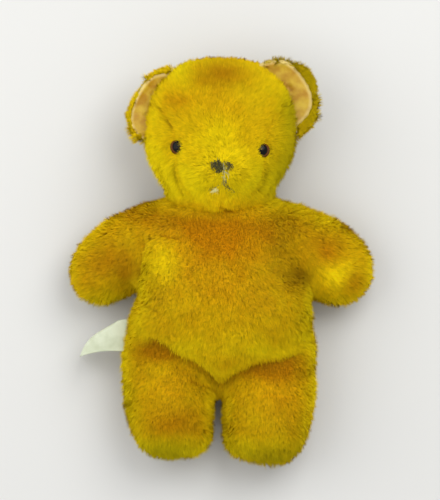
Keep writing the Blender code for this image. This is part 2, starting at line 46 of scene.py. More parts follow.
# The view: a camera high above the belly, with the head at the top of the picture.
# It stands far enough back that the feet and the muzzle keep their true proportions.
MM = 0.001
PICTURE_HEIGHT = 340 * MM
CAMERA_HEIGHT = 6.0
BELLY_LEVEL = 34 * MM
PICTURE_CENTRE = (-0.9 * MM, 7.4 * MM)
SENSOR_HEIGHT = 24.0
SIGHT_LENGTH = 20.0


def placed(name, data):
    """A new object in the scene that shows some data."""
    item = bpy.data.objects.new(name, data)
    scene.collection.objects.link(item)
    return item


def built(name, bm):
    """A new object with the mesh that has been drawn."""
    mesh = bpy.data.meshes.new(name)
    bm.to_mesh(mesh)
    bm.free()
    return placed(name, mesh)


camera_data = bpy.data.cameras.new("camera")
camera_data.sensor_fit = "VERTICAL"
camera_data.sensor_height = SENSOR_HEIGHT
camera_data.lens = SENSOR_HEIGHT * CAMERA_HEIGHT / PICTURE_HEIGHT
camera_data.clip_end = SIGHT_LENGTH
camera = placed("camera", camera_data)
camera.location = (*PICTURE_CENTRE, CAMERA_HEIGHT + BELLY_LEVEL)
scene.camera = camera
scene.view_settings.view_transform = "Standard"

# The studio: a pale sheet of card under the bear and soft daylight from above its right ear.
# A broad weak lamp on the other side opens the shadows.
CARD_HALF_WIDTH = 3.0
CARD_COLOUR = (0.70, 0.70, 0.68, 1.0)
CARD_ROUGHNESS = 0.9
SKY_COLOUR = (1.0, 1.0, 1.0, 1.0)
SKY_STRENGTH = 0.67
LAMPS = {
    "window": {"place": (0.48, 0.62, 1.10), "width": 0.95, "watts": 9.2},
    "bounce": {"place": (-0.70, 0.20, 0.80), "width": 1.00, "watts": 4.2},
}

bm = bmesh.new()
bmesh.ops.create_grid(bm, x_segments=1, y_segments=1, size=CARD_HALF_WIDTH)
card = built("card", bm)
card_material = bpy.data.materials.new("pale_card")
card_material.use_nodes = True
card_shader = card_material.node_tree.nodes["Principled BSDF"]
card_shader.inputs["Base Color"].default_value = CARD_COLOUR
card_shader.inputs["Roughness"].default_value = CARD_ROUGHNESS
card.data.materials.append(card_material)

scene.world = bpy.data.worlds.new("daylight")
scene.world.use_nodes = True
sky = scene.world.node_tree.nodes["Background"]
sky.inputs["Color"].default_value = SKY_COLOUR
sky.inputs["Strength"].default_value = SKY_STRENGTH

for lamp_name, lamp in LAMPS.items():
    lamp_data = bpy.data.lights.new(lamp_name, "AREA")
    lamp_data.size = lamp["width"]
    lamp_data.energy = lamp["watts"]
    lamp_object = placed(lamp_name, lamp_data)
    lamp_object.location = lamp["place"]
    aim = Vector((0.0, 0.0, BELLY_LEVEL)) - lamp_object.location
    lamp_object.rotation_euler = aim.to_track_quat("-Z", "Y").to_euler()

# The knitted backing: the stuffed forms of the body and of the head, which the pile grows from.
# Each is sewn from its panels, so a shallow valley follows every seam, and the filling rounds
# the cloth between them, with age more in some places than in others.
KNIT_GRID = 2.0 * MM
KNIT_ROUNDING = 14
MERGE_GAP = 0.001 * MM
SEAM_TOUCH = 0.6 * MM
SEAM_VALLEY = 1.1 * MM
SEAM_REACH = 2.2 * MM
NECK_START = 1.0 * MM
NECK_REACH = 7.0 * MM
BODY_SUNK = 1.7 * MM
HEAD_SUNK = 2.6 * MM
FLANK_SUNK = 0.75 * MM
GROUND_GAP = 0.5 * MM
SETTLED_BODY = (
    (-97, 12, 16, 3.4), (97, 15, 16, 3.4), (87, 27, 12, 1.6), (-64, -119, 14, -3.4),
    (62, -125, 15, -5.0), (65, -105, 14, -3.2), (66, -74, 18, -2.0), (62, -36, 8, -2.0),
    (-67, -43, 9, 2.4), (-1, -92, 7, -3.4), (-84, -30, 14, -1.6), (84, -28, 14, -0.6),
    (-57, 37, 10, 0.6), (58, 37, 10, 0.8), (-66, -100, 14, -1.2), (-38, -134, 16, -1.2),
    (34, -138, 18, -1.4),
)
SETTLED_HEAD = (
    (-48, 62, 12, -2.2), (-42, 50, 12, -2.6), (47, 62, 13, -3.0), (40, 51, 12, -4.0),
    (-54, 79, 8, 2.0), (28, 138, 8, 1.6),
)

BODY_PANELS = ("body_front", "body_back_left", "body_back_right")
HEAD_PANELS = (
    "head_gusset", "head_cheek_left", "head_cheek_right", "head_back_left", "head_back_right",
)


def vertex_places(mesh, kind="co"):
    values = np.empty(len(mesh.vertices) * 3)
    mesh.vertices.foreach_get(kind, values)
    return values.reshape(-1, 3)


def vertex_normals(mesh):
    return vertex_places(mesh, "normal")


def move_vertices(item, places):
    item.data.vertices.foreach_set("co", places.ravel())
    item.data.update()


def ramp(values, start, end):
    """Goes smoothly from 0 at the start to 1 at the end."""
    share = np.clip((values - start) / (end - start), 0.0, 1.0)
    return share * share * (3.0 - 2.0 * share)


def bell(values, width):
    """Is 1 at 0, and fades smoothly to 0 past the width on both sides."""
    return np.exp(-((values / width) ** 2))


def distances_to(points, places):
    """How far each place is from the nearest of the points."""
    tree = KDTree(len(points))
    for i, point in enumerate(points):
        tree.insert(point, i)
    tree.balance()
    return np.array([tree.find(place)[2] for place in places])


def seam_points(panel, *neighbours):
    """The places on a panel that lie against the edge of a neighbour."""
    own = vertex_places(nodes[panel].data)
    others = np.concatenate([vertex_places(nodes[name].data) for name in neighbours])
    return own[distances_to(others, own) < SEAM_TOUCH]


def stuffed_form(name, node_names, grid=KNIT_GRID, rounds=KNIT_ROUNDING):
    """One smooth closed skin round the named pieces."""
    bm = bmesh.new()
    for node_name in node_names:
        bm.from_mesh(nodes[node_name].data)
    bmesh.ops.remove_doubles(bm, verts=bm.verts[:], dist=MERGE_GAP)
    form = built(name, bm)
    skin = form.modifiers.new("skin", "REMESH")
    skin.mode = "VOXEL"
    skin.voxel_size = grid
    rounding = form.modifiers.new("rounding", "SMOOTH")
    rounding.factor = 0.5
    rounding.iterations = rounds
    apply_modifiers(form)
    keep_outer_skin(form)
    return form


def apply_modifiers(item):
    bpy.context.view_layer.update()
    evaluated = item.evaluated_get(bpy.context.evaluated_depsgraph_get())
    mesh = bpy.data.meshes.new_from_object(evaluated)
    item.modifiers.clear()
    item.data = mesh
    mesh.name = item.name


def surface_tree(item):
    return BVHTree.FromObject(item, bpy.context.evaluated_depsgraph_get())


def keep_outer_skin(item):
    """Drops every separate body but the largest, so that no hollow is left inside."""
    bm = bmesh.new()
    bm.from_mesh(item.data)
    left = set(bm.verts)
    bodies = []
    while left:
        body, edge = [], [left.pop()]
        while edge:
            vertex = edge.pop()
            body.append(vertex)
            for link in vertex.link_edges:
                other = link.other_vert(vertex)
                if other in left:
                    left.remove(other)
                    edge.append(other)
        bodies.append(body)
    bodies.sort(key=len)
    for body in bodies[:-1]:
        bmesh.ops.delete(bm, geom=body, context="VERTS")
    bm.to_mesh(item.data)
    bm.free()


body = stuffed_form("knit_body", BODY_PANELS + ("body_stuffing",))
head = stuffed_form("knit_head", HEAD_PANELS + ("head_stuffing",))
face_seam = seam_points("head_gusset", "head_cheek_left", "head_cheek_right")
chin_seam = seam_points("head_cheek_left", "head_cheek_right")
crown_seam = seam_points("head_gusset", "head_back_left", "head_back_right")
nape_seam = seam_points("head_back_left", "head_back_right")
side_seam = seam_points("body_front", "body_back_left", "body_back_right")
spine_seam = seam_points("body_back_left", "body_back_right")

HIP_CREASES = (
    ((-41, -51.5), (-35, -55.5), (-26, -61), (-17, -64.5), (-9, -70), (-4, -76)),
    ((4, -76), (10, -72), (20, -68), (29, -66.5), (43, -63), (46, -61.8)),
)
SMALL_CREASES = (
    ((-20, -80), (-10, -83), (-6, -84.5)),
    ((-54, -24), (-41, -32)),
    ((-38, 19), (-30, 17)),
    ((55, -52), (65, -55)),
    ((-49, 12), (-51, 0), (-52, -12)),
    ((61, -26), (58.5, -21), (56, -15)),
)
HIP_CREASE = {"depth": 2.1, "ridge": 0.9, "reach": 3.0}
SMALL_CREASE = {"depth": 1.2, "ridge": 0.5, "reach": 2.4}
DIMPLES = ((51, -10, 8, 3.6), (-58, -5, 9, 1.6), (44, 0, 16, 1.2), (-76, 0, 14, 0.8))
PULLED_IN = (
    (-66, -26, 12, 12.0, 8.0), (66, -28, 9, -6.0, 2.6), (-8, -122, 9, 2.0, 0.0),
    (-74, -36, 9, -2.5, -3.6),
)


def past_line(places, line):
    """How far each place is to the left of a line, or to its right where it is negative."""
    best = np.full(len(places), 1.0)
    for start, end in zip(line, line[1:]):
        a, b = np.array(start) * MM, np.array(end) * MM
        run = b - a
        share = np.clip(((places[:, :2] - a) @ run) / (run @ run), 0.0, 1.0)
        gap = places[:, :2] - (a + share[:, None] * run)
        side = np.sign(run[0] * gap[:, 1] - run[1] * gap[:, 0])
        away = np.linalg.norm(gap, axis=1)
        nearer = away < np.abs(best)
        best[nearer] = (side * away)[nearer]
    return best


def crease_shift(places, lines, crease):
    """A fold along each line: a soft ridge on its left, and pressed in on its right."""
    shift = np.zeros(len(places))
    reach = crease["reach"] * MM
    for line in lines:
        past = past_line(places, line)
        fold = bell(past + 0.3 * reach, reach) * crease["depth"]
        below = 0.35 * crease["depth"] * bell(past + 2.0 * reach, 1.6 * reach)
        ridge = bell(past - 1.7 * reach, 1.2 * reach) * crease["ridge"]
        shift += (ridge - fold - below) * MM
    return shift


def nearness(places, x, y, reach):
    """Is 1 at a spot seen from above, and fades to 0 past its reach. All three are in mm."""
    return bell(np.hypot(places[:, 0] - x * MM, places[:, 1] - y * MM), reach * MM)


def pulled(places, table):
    """Pulls a form sideways about some places, each x, y, reach, way right and way up in mm."""
    moved = places.copy()
    for x, y, reach, right, up in table:
        share = nearness(places, x, y, reach)
        moved[:, 0] += right * MM * share
        moved[:, 1] += up * MM * share
    return moved


def crease_front(item):
    """Draws the armpits in, and folds and dimples the front of the body."""
    places, normals = vertex_places(item.data), vertex_normals(item.data)
    places = pulled(places, PULLED_IN)
    shift = crease_shift(places, HIP_CREASES, HIP_CREASE)
    shift += crease_shift(places, SMALL_CREASES, SMALL_CREASE)
    for x, y, reach, depth in DIMPLES:
        shift -= depth * MM * nearness(places, x, y, reach)
    places[:, 2] += shift * ramp(normals[:, 2], 0.0, 0.5)
    move_vertices(item, places)


def settle(item, table):
    """Moves the sides of a form out or in about some places, each x, y, reach and shift in mm."""
    places, normals = vertex_places(item.data), vertex_normals(item.data)
    shift = np.zeros(len(places))
    for x, y, reach, by in table:
        shift += by * MM * nearness(places, x, y, reach)
    places[:, :2] += normals[:, :2] * shift[:, None]
    move_vertices(item, places)


def sink_to_backing(item, depth, seams, other):
    """Lowers a form's skin from the top of the pile to the cloth, and more along its seams."""
    places, normals = vertex_places(item.data), vertex_normals(item.data)
    to_seam = distances_to(np.concatenate(seams), places)
    other_skin = surface_tree(other)
    to_other = np.array([other_skin.find_nearest(place)[3] for place in places])
    free = np.clip((to_other - NECK_START) / NECK_REACH, 0.0, 1.0)
    flank = 1.0 - ramp(np.abs(normals[:, 2]), 0.2, 0.7)
    valley = SEAM_VALLEY * bell(to_seam, SEAM_REACH)
    sunk = (depth + FLANK_SUNK * flank) * free + valley
    lowered = places - normals * sunk[:, None]
    lowered[:, 2] = np.maximum(lowered[:, 2], GROUND_GAP)
    move_vertices(item, lowered)
    return to_seam


body_seams = (side_seam, spine_seam)
head_seams = (face_seam, chin_seam, crown_seam, nape_seam)
body_to_seam = sink_to_backing(body, BODY_SUNK, body_seams, head)
head_to_seam = sink_to_backing(head, HEAD_SUNK, head_seams, body)
crease_front(body)
settle(body, SETTLED_BODY)
settle(head, SETTLED_HEAD)
for form, panels, filling in (
    (body, BODY_PANELS, "body_stuffing"), (head, HEAD_PANELS, "head_stuffing"),
):
    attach(form, "root")
    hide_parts(*panels, filling)

# The state of the pile over each form: which way it lies, how long it still is, and how far its
# gold has gone to ochre. Years of stroking wore the brow, chest, arms and thighs, and left the
# sheltered cheeks and the sides of the belly bright. Light and shade are painted in too: the left
# cheek and crown lighter and the right cheek and temple darker, painted shade in the dimples, the
# folds and between the legs, and painted light on the chest, neck, chin and left shoulder.
PILE_LENGTH = 6.0 * MM
NOSE_PLACE = (-1.0 * MM, 64.5 * MM)
# Worn places, each x, y, half width, half height, strength. (51, -10) and (-60, -4) are painted
# shade in the dimples, (-44, -60) and (34, -74) painted shade below the hip creases, and (0, -84)
# painted shade between the legs.
WEAR_AND_SHADE_PATCHES = (
    (2, 125, 20, 10, 0.50), (-29, 108, 9, 7, 0.34), (8, 95, 13, 6, 0.12), (51, -10, 8, 8, 0.35),
    (-4, 21, 40, 15, 0.52), (0, 2, 34, 18, 0.24), (0, -24, 34, 16, 0.10), (-74, 0, 16, 13, 0.32),
    (-60, -4, 10, 9, 0.2), (66, 11, 18, 12, 0.25), (-56, 32, 24, 9, 0.42), (66, 30, 20, 7, 0.12),
    (-36, -84, 24, 14, 0.14), (36, -86, 22, 16, 0.14), (-44, -60, 14, 8, 0.54),
    (34, -74, 18, 7, 0.52), (44, -94, 9, 12, 0.2), (88, -16, 8, 8, 0.3), (71, 5, 10, 8, 0.25),
    (-32, -109, 16, 9, 0.40), (-92, -14, 10, 12, 0.16), (0, -84, 5, 12, 0.1),
    (-30, -62, 12, 5, 0.17), (33, -68, 14, 5, 0.17),
)
# Places where the gold is less worn. (-40, 64) on the left cheek and (-26, 124) on the left of the
# crown are painted light, brighter because of how the light falls on that side.
BRIGHT_AND_LIT_PATCHES = (
    (-1, 83, 19, 13, 0.45), (-40, 64, 14, 18, 0.42), (40, 58, 14, 18, 0.3), (-8, 54, 26, 8, 0.35),
    (-26, 124, 9, 12, 0.28), (44, 104, 9, 16, 0.25), (-40, 1, 11, 15, 0.5),
    (19, 112, 12, 9, 0.22), (0, 66, 22, 9, 0.3), (-20, 34, 28, 5, 0.2), (-25, -56, 15, 5, 0.25),
    (24, -58, 20, 5, 0.25), (75, -8, 11, 8, 0.35), (-35, -123, 22, 6, 0.45),
    (22, -124, 18, 6, 0.35), (67, 25, 11, 6, 0.25), (-78, -26, 16, 7, 0.3),
    (-64, -90, 7, 26, 0.25), (63, -88, 7, 24, 0.25), (62, -50, 8, 14, 0.15), (0, -54, 40, 8, 0.12),
)
LONG_PATCHES = (
    (-86, -30, 14, 8, 0.30), (78, -30, 20, 7, 0.15), (30, -135, 26, 7, 0.30),
    (-36, -130, 22, 5, 0.15), (92, 0, 8, 14, 0.15),
)
# Soil, and painted light and shade, each x, y, half width, half height, strength; negative ones
# lighten. (44, 58) on the right cheek and (46, 98) on the right temple are painted shade on the
# side turned from the light, (51, -9) and (-61, -6) painted shade in the dimples, (-45, -62) and
# (36, -74) painted shade below the hip creases and (-1, -85) between the legs. (0, 14), (-2, 36),
# (-4, 41), (-68, 22) and (-42, 65) are painted light, lifting shade on the chest, neck, chin, left
# shoulder and left cheek.
SOIL_LIGHT_AND_SHADE_PATCHES = (
    (0, 124, 20, 11, 0.28), (20, 110, 12, 10, 0.1), (-78, -2, 16, 14, 0.08),
    (80, 2, 20, 18, -0.06), (-61, -6, 11, 9, 0.24), (44, 58, 15, 22, 0.50), (46, 98, 10, 20, 0.50),
    (-90, -20, 12, 9, 0.02), (88, -14, 9, 9, 0.18), (51, -9, 8, 8, 0.52), (20, 54, 12, 12, 0.14),
    (-4, 41, 18, 7, -0.16), (-45, -62, 14, 8, 0.12), (36, -74, 16, 6, 0.22),
    (-38, -126, 22, 7, 0.42), (34, -129, 24, 7, 0.40), (-1, -85, 6, 8, 0.15),
    (-34, -112, 18, 8, 0.05), (56, -28, 7, 20, 0.16), (54, -118, 8, 14, 0.15),
    (-64, -104, 7, 18, 0.15), (38, 8, 9, 20, 0.12), (-40, 1, 11, 15, -0.12),
    (0, 14, 36, 22, -0.21), (0, -20, 34, 20, -0.12), (75, -10, 12, 8, -0.2),
    (-36, -84, 22, 16, -0.15), (36, -86, 22, 16, -0.22), (-68, 22, 22, 8, -0.06),
    (-2, 36, 24, 5, -0.1), (-30, -62, 12, 5, -0.08), (33, -68, 14, 5, -0.04),
    (-42, 65, 9, 13, -0.12), (77, -20, 8, 6, -0.08), (-25, 126, 8, 8, 0.06),
)
SHAGGY_PATCHES = (
    (0, 44, 62, 14, -0.9), (-35, -134, 26, 10, 0.6), (32, -136, 28, 11, 0.75),
    (-93, -20, 13, 14, 0.35), (93, -10, 12, 16, 0.35), (-84, -34, 16, 8, 0.45),
    (80, -34, 20, 8, 0.4), (66, -118, 10, 12, 0.4), (-66, -112, 8, 16, 0.25),
)
WORN_SIDES = 0.24
WORN_TOP = 0.52
SWIRLS = ((0.6, 30, 1), (0.25, 12, 2))
MOTTLES = ((0.16, 14, 3), (0.10, 6, 4))
BACK_WORN = 0.5
BACK_SOILED = 0.12
SEAM_WORN = 0.22
SEAM_FLAT = 1.6 * MM
FULL_LENGTH = 1.12
WORN_LOSS = 0.42
SEAM_LOSS = 0.35
PRESSED_LOSS = 0.55
PRESSED_THIN = 0.6
WORN_THIN = 0.15
TRIM_CLEAR = (2.0 * MM, 6.0 * MM)
TRIM_LENGTH = 0.45


def patches_at(places, patches):
    """The summed strength of soft ovals, each x, y, half width, half height, strength."""
    total = np.zeros(len(places))
    for x, y, wide, high, strength in patches:
        across = (places[:, 0] - x * MM) / (wide * MM)
        along = (places[:, 1] - y * MM) / (high * MM)
        total += strength * np.exp(-(across**2 + along**2))
    return total


def noise_at(places, size, seed):
    """Smooth noise from -1 to 1 with features of about the given size."""
    shift = Vector((seed * 17.3, seed * 7.9, seed * 3.1))
    return np.array([noise.noise(Vector(place) / size + shift) for place in places])


def noise_layers(places, layers):
    """Layers of smooth noise laid over each other, each strength, size in mm and seed."""
    return sum(strength * noise_at(places, size * MM, seed) for strength, size, seed in layers)


def body_lie(places):
    """The pile is brushed down the body and limbs, and outward over the paws."""
    x, y = places[:, 0], places[:, 1]
    out = ramp(np.abs(x), 42 * MM, 66 * MM) * ramp(y, -45 * MM, -25 * MM)
    paw = ramp(np.abs(x), 76 * MM, 98 * MM)
    neck = ramp(y, 24 * MM, 42 * MM) * ramp(np.abs(x), 6 * MM, 26 * MM)
    sideways = np.sign(x) * (0.45 * out + 1.1 * paw + neck) + x * 4.0
    return np.stack([sideways, -1.0 + 0.35 * paw + neck, 0.0 * x], axis=1)


def head_lie(places):
    """The pile runs away from the nose over the brow, and down the cheeks and the nape."""
    x, y, z = places.T
    from_nose = np.stack([x - NOSE_PLACE[0], y - NOSE_PLACE[1], 0.0 * x], axis=1)
    from_nose /= np.linalg.norm(from_nose, axis=1, keepdims=True) + 0.1 * MM
    cheek = ramp(np.abs(x), 22 * MM, 38 * MM) * ramp(-y, -100 * MM, -70 * MM)
    down = np.stack([np.sign(x) * 0.6, -1.0 + 0.0 * x, 0.0 * x], axis=1)
    nape = ramp(-z, -38 * MM, -20 * MM)[:, None]
    back = np.stack([0.2 * np.sign(x), -0.7 + 0.0 * x, -0.4 + 0.0 * x], axis=1)
    lie = from_nose * (1.0 - cheek)[:, None] + down * cheek[:, None]
    return lie * (1.0 - nape) + back * nape


def turned_in_plane(lie, normal, angle):
    return lie * np.cos(angle)[:, None] + np.cross(normal, lie) * np.sin(angle)[:, None]


def pile_state(item, lie, to_seam, bare_points, shaggy):
    """The lie, length, wear and thickness of the pile at each vertex of a form."""
    places, normals = vertex_places(item.data), vertex_normals(item.data)
    lie = lie - normals * (lie * normals).sum(axis=1, keepdims=True)
    lie /= np.linalg.norm(lie, axis=1, keepdims=True) + 1e-6
    lie = turned_in_plane(lie, normals, noise_layers(places, SWIRLS))
    mottle = noise_layers(places, MOTTLES)
    handled = WORN_SIDES + (WORN_TOP - WORN_SIDES) * ramp(normals[:, 2], 0.35, 0.92)
    worn = handled + mottle + patches_at(places, WEAR_AND_SHADE_PATCHES) - patches_at(places, BRIGHT_AND_LIT_PATCHES)
    front = ramp(normals[:, 2], -0.35, 0.15)
    worn = np.clip(worn * front + (BACK_WORN + mottle) * (1.0 - front), 0.0, 1.0)
    # Soil with painted shade and painted light from the patch table; the back is soiled evenly.
    darkened = patches_at(places, SOIL_LIGHT_AND_SHADE_PATCHES) * front + BACK_SOILED * (1.0 - front)
    seam = bell(to_seam, SEAM_FLAT)
    pressed = ramp(-normals[:, 2], 0.75, 0.95) * ramp(-places[:, 2], -5 * MM, -2 * MM)
    length = PILE_LENGTH * (FULL_LENGTH - WORN_LOSS * worn) * (1.0 - SEAM_LOSS * seam)
    length = length * (1.0 - PRESSED_LOSS * pressed)
    length *= 1.0 + patches_at(places, LONG_PATCHES)
    thick = (0.5 + 0.5 * front) * (1.0 - PRESSED_THIN * pressed) * (1.0 - WORN_THIN * worn)
    if len(bare_points):
        near = ramp(distances_to(bare_points, places), *TRIM_CLEAR)
        length *= TRIM_LENGTH + (1.0 - TRIM_LENGTH) * near
    worn = np.clip(worn + SEAM_WORN * seam, 0.0, 1.0)
    return {
        "lie": lie, "length": length, "worn": worn, "darkened": darkened, "thick": thick,
        "normal": normals, "shag": patches_at(places, shaggy),
    }


trim_points = np.concatenate([
    vertex_places(nodes[name].data) for name in ("nose_embroidery", "mouth_stitches")
])
body_lying, head_lying = body_lie(vertex_places(body.data)), head_lie(vertex_places(head.data))
body_state = pile_state(body, body_lying, body_to_seam, [], SHAGGY_PATCHES)
head_state = pile_state(head, head_lying, head_to_seam, trim_points, ())

# The gold of the plush, which every pile and the backing share. Bright tips stand on roots
# painted darker and oranger, as painted shade deep in the pile, and the backing takes the same
# painted shade. No two tufts took the dye alike, and worn places have gone to ochre.
BRIGHT_GOLD = (0.90, 0.715, 0.004, 1.0)
WEAR_AND_SHADE_OCHRE = (0.64, 0.285, 0.002, 1.0)
ROOT_PAINTED_SHADE = 0.64
ROOT_HEIGHT = 0.6
TONE_RANGE = (0.51, 1.43)
LIT_AND_CLEAN_RANGE = (1.5, 0.0)
PILE_SHEEN = (1.0, 0.80, 0.02, 1.0)
KNIT_LOOPS = 900.0
KNIT_TONES = (0.75, 0.25)
KNIT_ALONG = 0.25
KNIT_RELIEF = 0.3 * MM


def feed(tree, socket, value):
    """Gives a socket a plain value, or what another socket gives."""
    if isinstance(value, bpy.types.NodeSocket):
        tree.links.new(value, socket)
    else:
        socket.default_value = value


def mixed(tree, share, first, second):
    """A colour mix. Each of the three is a plain value or a socket."""
    mix = tree.nodes.new("ShaderNodeMix")
    mix.data_type = "RGBA"
    for number, value in ((0, share), (6, first), (7, second)):
        feed(tree, mix.inputs[number], value)
    return mix.outputs[2]


def mapped(tree, value, low, high, to_low, to_high):
    """Stretches a value from one range to another, and keeps it in there."""
    node = tree.nodes.new("ShaderNodeMapRange")
    tree.links.new(value, node.inputs["Value"])
    node.inputs["From Min"].default_value = low
    node.inputs["From Max"].default_value = high
    node.inputs["To Min"].default_value = to_low
    node.inputs["To Max"].default_value = to_high
    return node.outputs["Result"]


def multiplied(tree, first, second):
    node = tree.nodes.new("ShaderNodeMath")
    node.operation = "MULTIPLY"
    tree.links.new(first, node.inputs[0])
    tree.links.new(second, node.inputs[1])
    return node.outputs[0]


def worn_gold_group():
    """Inputs say wear, soil with painted light and shade, how far up the tuft, and its tone."""
    group = bpy.data.node_groups.new("worn_gold", "ShaderNodeTree")
    for name in ("Wear_and_shade", "Soil_light_and_shade", "Along", "Tone"):
        group.interface.new_socket(name=name, in_out="INPUT", socket_type="NodeSocketFloat")
    group.interface.new_socket(name="Color", in_out="OUTPUT", socket_type="NodeSocketColor")
    inputs = group.nodes.new("NodeGroupInput")
    outputs = group.nodes.new("NodeGroupOutput")
    # Gold turned to ochre by wear, and by painted shade where the patches put it.
    wear_and_shade_gold = mixed(group, inputs.outputs["Wear_and_shade"], BRIGHT_GOLD, WEAR_AND_SHADE_OCHRE)
    # Painted shade deep in the pile: each tuft is darker towards its root.
    height = mapped(group, inputs.outputs["Along"], 0.0, ROOT_HEIGHT, ROOT_PAINTED_SHADE, 1.0)
    tone = mapped(group, inputs.outputs["Tone"], -0.5, 1.5, *TONE_RANGE)
    # Darker with soil and painted shade, lighter with painted light where the value is negative.
    lit_and_clean = mapped(group, inputs.outputs["Soil_light_and_shade"], -0.5, 1.0, *LIT_AND_CLEAN_RANGE)
    value = multiplied(group, multiplied(group, height, tone), lit_and_clean)
    scale = group.nodes.new("ShaderNodeVectorMath")
    scale.operation = "SCALE"
    group.links.new(wear_and_shade_gold, scale.inputs[0])
    group.links.new(value, scale.inputs["Scale"])
    group.links.new(scale.outputs[0], outputs.inputs["Color"])
    return group


worn_gold = worn_gold_group()


def attribute(tree, name):
    node = tree.nodes.new("ShaderNodeAttribute")
    node.attribute_name = name
    return node.outputs["Fac"]


def gilded(tree, shader, along, tone):
    """Colours a plush material with the worn gold, by the state kept on its mesh."""
    gold = tree.nodes.new("ShaderNodeGroup")
    gold.node_tree = worn_gold
    feed(tree, gold.inputs["Wear_and_shade"], attribute(tree, "worn"))
    feed(tree, gold.inputs["Soil_light_and_shade"], attribute(tree, "darkened"))
    feed(tree, gold.inputs["Along"], along)
    feed(tree, gold.inputs["Tone"], tone)
    tree.links.new(gold.outputs["Color"], shader.inputs["Base Color"])


def textured(tree, kind, scale, **inputs):
    """A texture that follows the object's own coordinates."""
    places = tree.nodes.new("ShaderNodeTexCoord")
    texture = tree.nodes.new("ShaderNodeTex" + kind)
    tree.links.new(places.outputs["Object"], texture.inputs["Vector"])
    texture.inputs["Scale"].default_value = scale
    for name, value in inputs.items():
        texture.inputs[name].default_value = value
    return texture.outputs


def raised(tree, shader, height, relief):
    """Gives a material a fine relief."""
    bump = tree.nodes.new("ShaderNodeBump")
    bump.inputs["Distance"].default_value = relief
    tree.links.new(height, bump.inputs["Height"])
    tree.links.new(bump.outputs["Normal"], shader.inputs["Normal"])


def new_material(name, roughness, **sockets):
    """A Principled material with plain values on its own sockets."""
    material = bpy.data.materials.new(name)
    material.use_nodes = True
    shader = material.node_tree.nodes["Principled BSDF"]
    shader.inputs["Roughness"].default_value = roughness
    for socket, value in sockets.items():
        shader.inputs[socket.replace("_", " ")].default_value = value
    return material, material.node_tree, shader


pile_material, tree, shader = new_material(
    "gold_pile", 0.72, Sheen_Weight=0.12, Sheen_Roughness=0.45, Sheen_Tint=PILE_SHEEN,
    Specular_IOR_Level=0.04,
)
gilded(tree, shader, attribute(tree, "along"), attribute(tree, "tone"))

knit_material, tree, shader = new_material("knit_backing", 0.9, Specular_IOR_Level=0.15)
loops = textured(tree, "Voronoi", KNIT_LOOPS)["Distance"]
# The backing is coloured as though low in a tuft, so it takes the painted shade of the roots.
gilded(tree, shader, KNIT_ALONG, mapped(tree, loops, 0.0, 0.8, *KNIT_TONES))
raised(tree, shader, loops, KNIT_RELIEF)


def set_attribute(mesh, name, values):
    layer = mesh.attributes.new(name, "FLOAT", "POINT")
    layer.data.foreach_set("value", np.asarray(values, np.float32))


def cover_with_knit(form, state):
    """Gives a form the backing's material, worn and soiled like the pile on it."""
    set_attribute(form.data, "worn", state["worn"])
    set_attribute(form.data, "darkened", state["darkened"])
    form.data.materials.clear()
    form.data.materials.append(knit_material)
    form.data.shade_smooth()


cover_with_knit(body, body_state)
cover_with_knit(head, head_state)

# The pile: cut acrylic tufts, each modelled as one bent sliver that leans with the lie of the
# plush. Neighbours stick together at their tips, as a worn pile does, so the coat breaks up into
# small locks. It is grown in parts that follow the panels, each with its own baking cells.
TUFT_WIDTH = 0.38 * MM
GUARD_SHARE = 0.30
GUARD_WIDTH = 0.65
COAT_LEAN = (0.40, 0.95)
GUARD_LEAN = (0.12, 0.45)
LEAN_SPREAD = (0.16, 0.20)
LOCK_SIZE = 1.6 * MM
LOCK_EDGE = 0.13
LOCK_WAVES = ((3.7 * MM, 0.35), (8.1 * MM, 0.5))
LOCK_PRIMES = (73856093, 19349663, 83492791)
LOCK_TONE = 0.55
OWN_TONE = 0.5
MEAN_TONE = 0.525
TONE_SPREAD = (1.15, 0.7)
LOCK_TURN = (0.10, 0.20)
LOCK_REACH = (0.04, 0.26)
FLAT_PINCH = 0.16
SIDE_PINCH = 0.54
PINCH_SPREAD = (0.5, 1.15)
REACH_SPREAD = (0.80, 1.08)
WIDTH_SPREAD = (0.75, 1.2)
TUFT_TURN = 0.38
TUFT_ROLL = 0.45
TUFTS_PER_MM2 = 5.7
FLOOR_GAP = 0.15 * MM
CELL_MARGIN = 0.12
CELL_BITS = 10


def triangles_of(mesh):
    mesh.calc_loop_triangles()
    corners = np.empty(len(mesh.loop_triangles) * 3, np.int32)
    mesh.loop_triangles.foreach_get("vertices", corners)
    return corners.reshape(-1, 3)


def unit(vectors):
    return vectors / (np.linalg.norm(vectors, axis=1, keepdims=True) + 1e-9)


def spread_roots(item, state, chosen, per_mm2, rng):
    """Scatters tuft roots over the chosen triangles, and reads the pile's state at each."""
    corners = triangles_of(item.data)
    places = vertex_places(item.data)
    a, b, c = (places[corners[:, i]] for i in range(3))
    middles = (a + b + c) / 3.0
    area = np.linalg.norm(np.cross(b - a, c - a), axis=1) / 2.0
    facing = unit(np.cross(b - a, c - a))
    thick = state["thick"][corners].mean(axis=1)
    weight = area * thick * chosen(middles, facing)
    count = int(weight.sum() * per_mm2 / (MM * MM))
    picked = rng.choice(len(corners), size=count, p=weight / weight.sum())
    u, v = np.sqrt(rng.random(count)), rng.random(count)
    share = np.stack([1.0 - u, u * (1.0 - v), u * v], axis=1)

    def read(values):
        found = values[corners[picked]]
        extra = (1,) * (found.ndim - 2)
        return (found * share.reshape(share.shape + extra)).sum(axis=1)

    tufts = {name: read(state[name]) for name in ("length", "worn", "darkened", "shag")}
    tufts["root"] = read(places)
    tufts["normal"], tufts["lie"] = unit(read(state["normal"])), unit(read(state["lie"]))
    return tufts


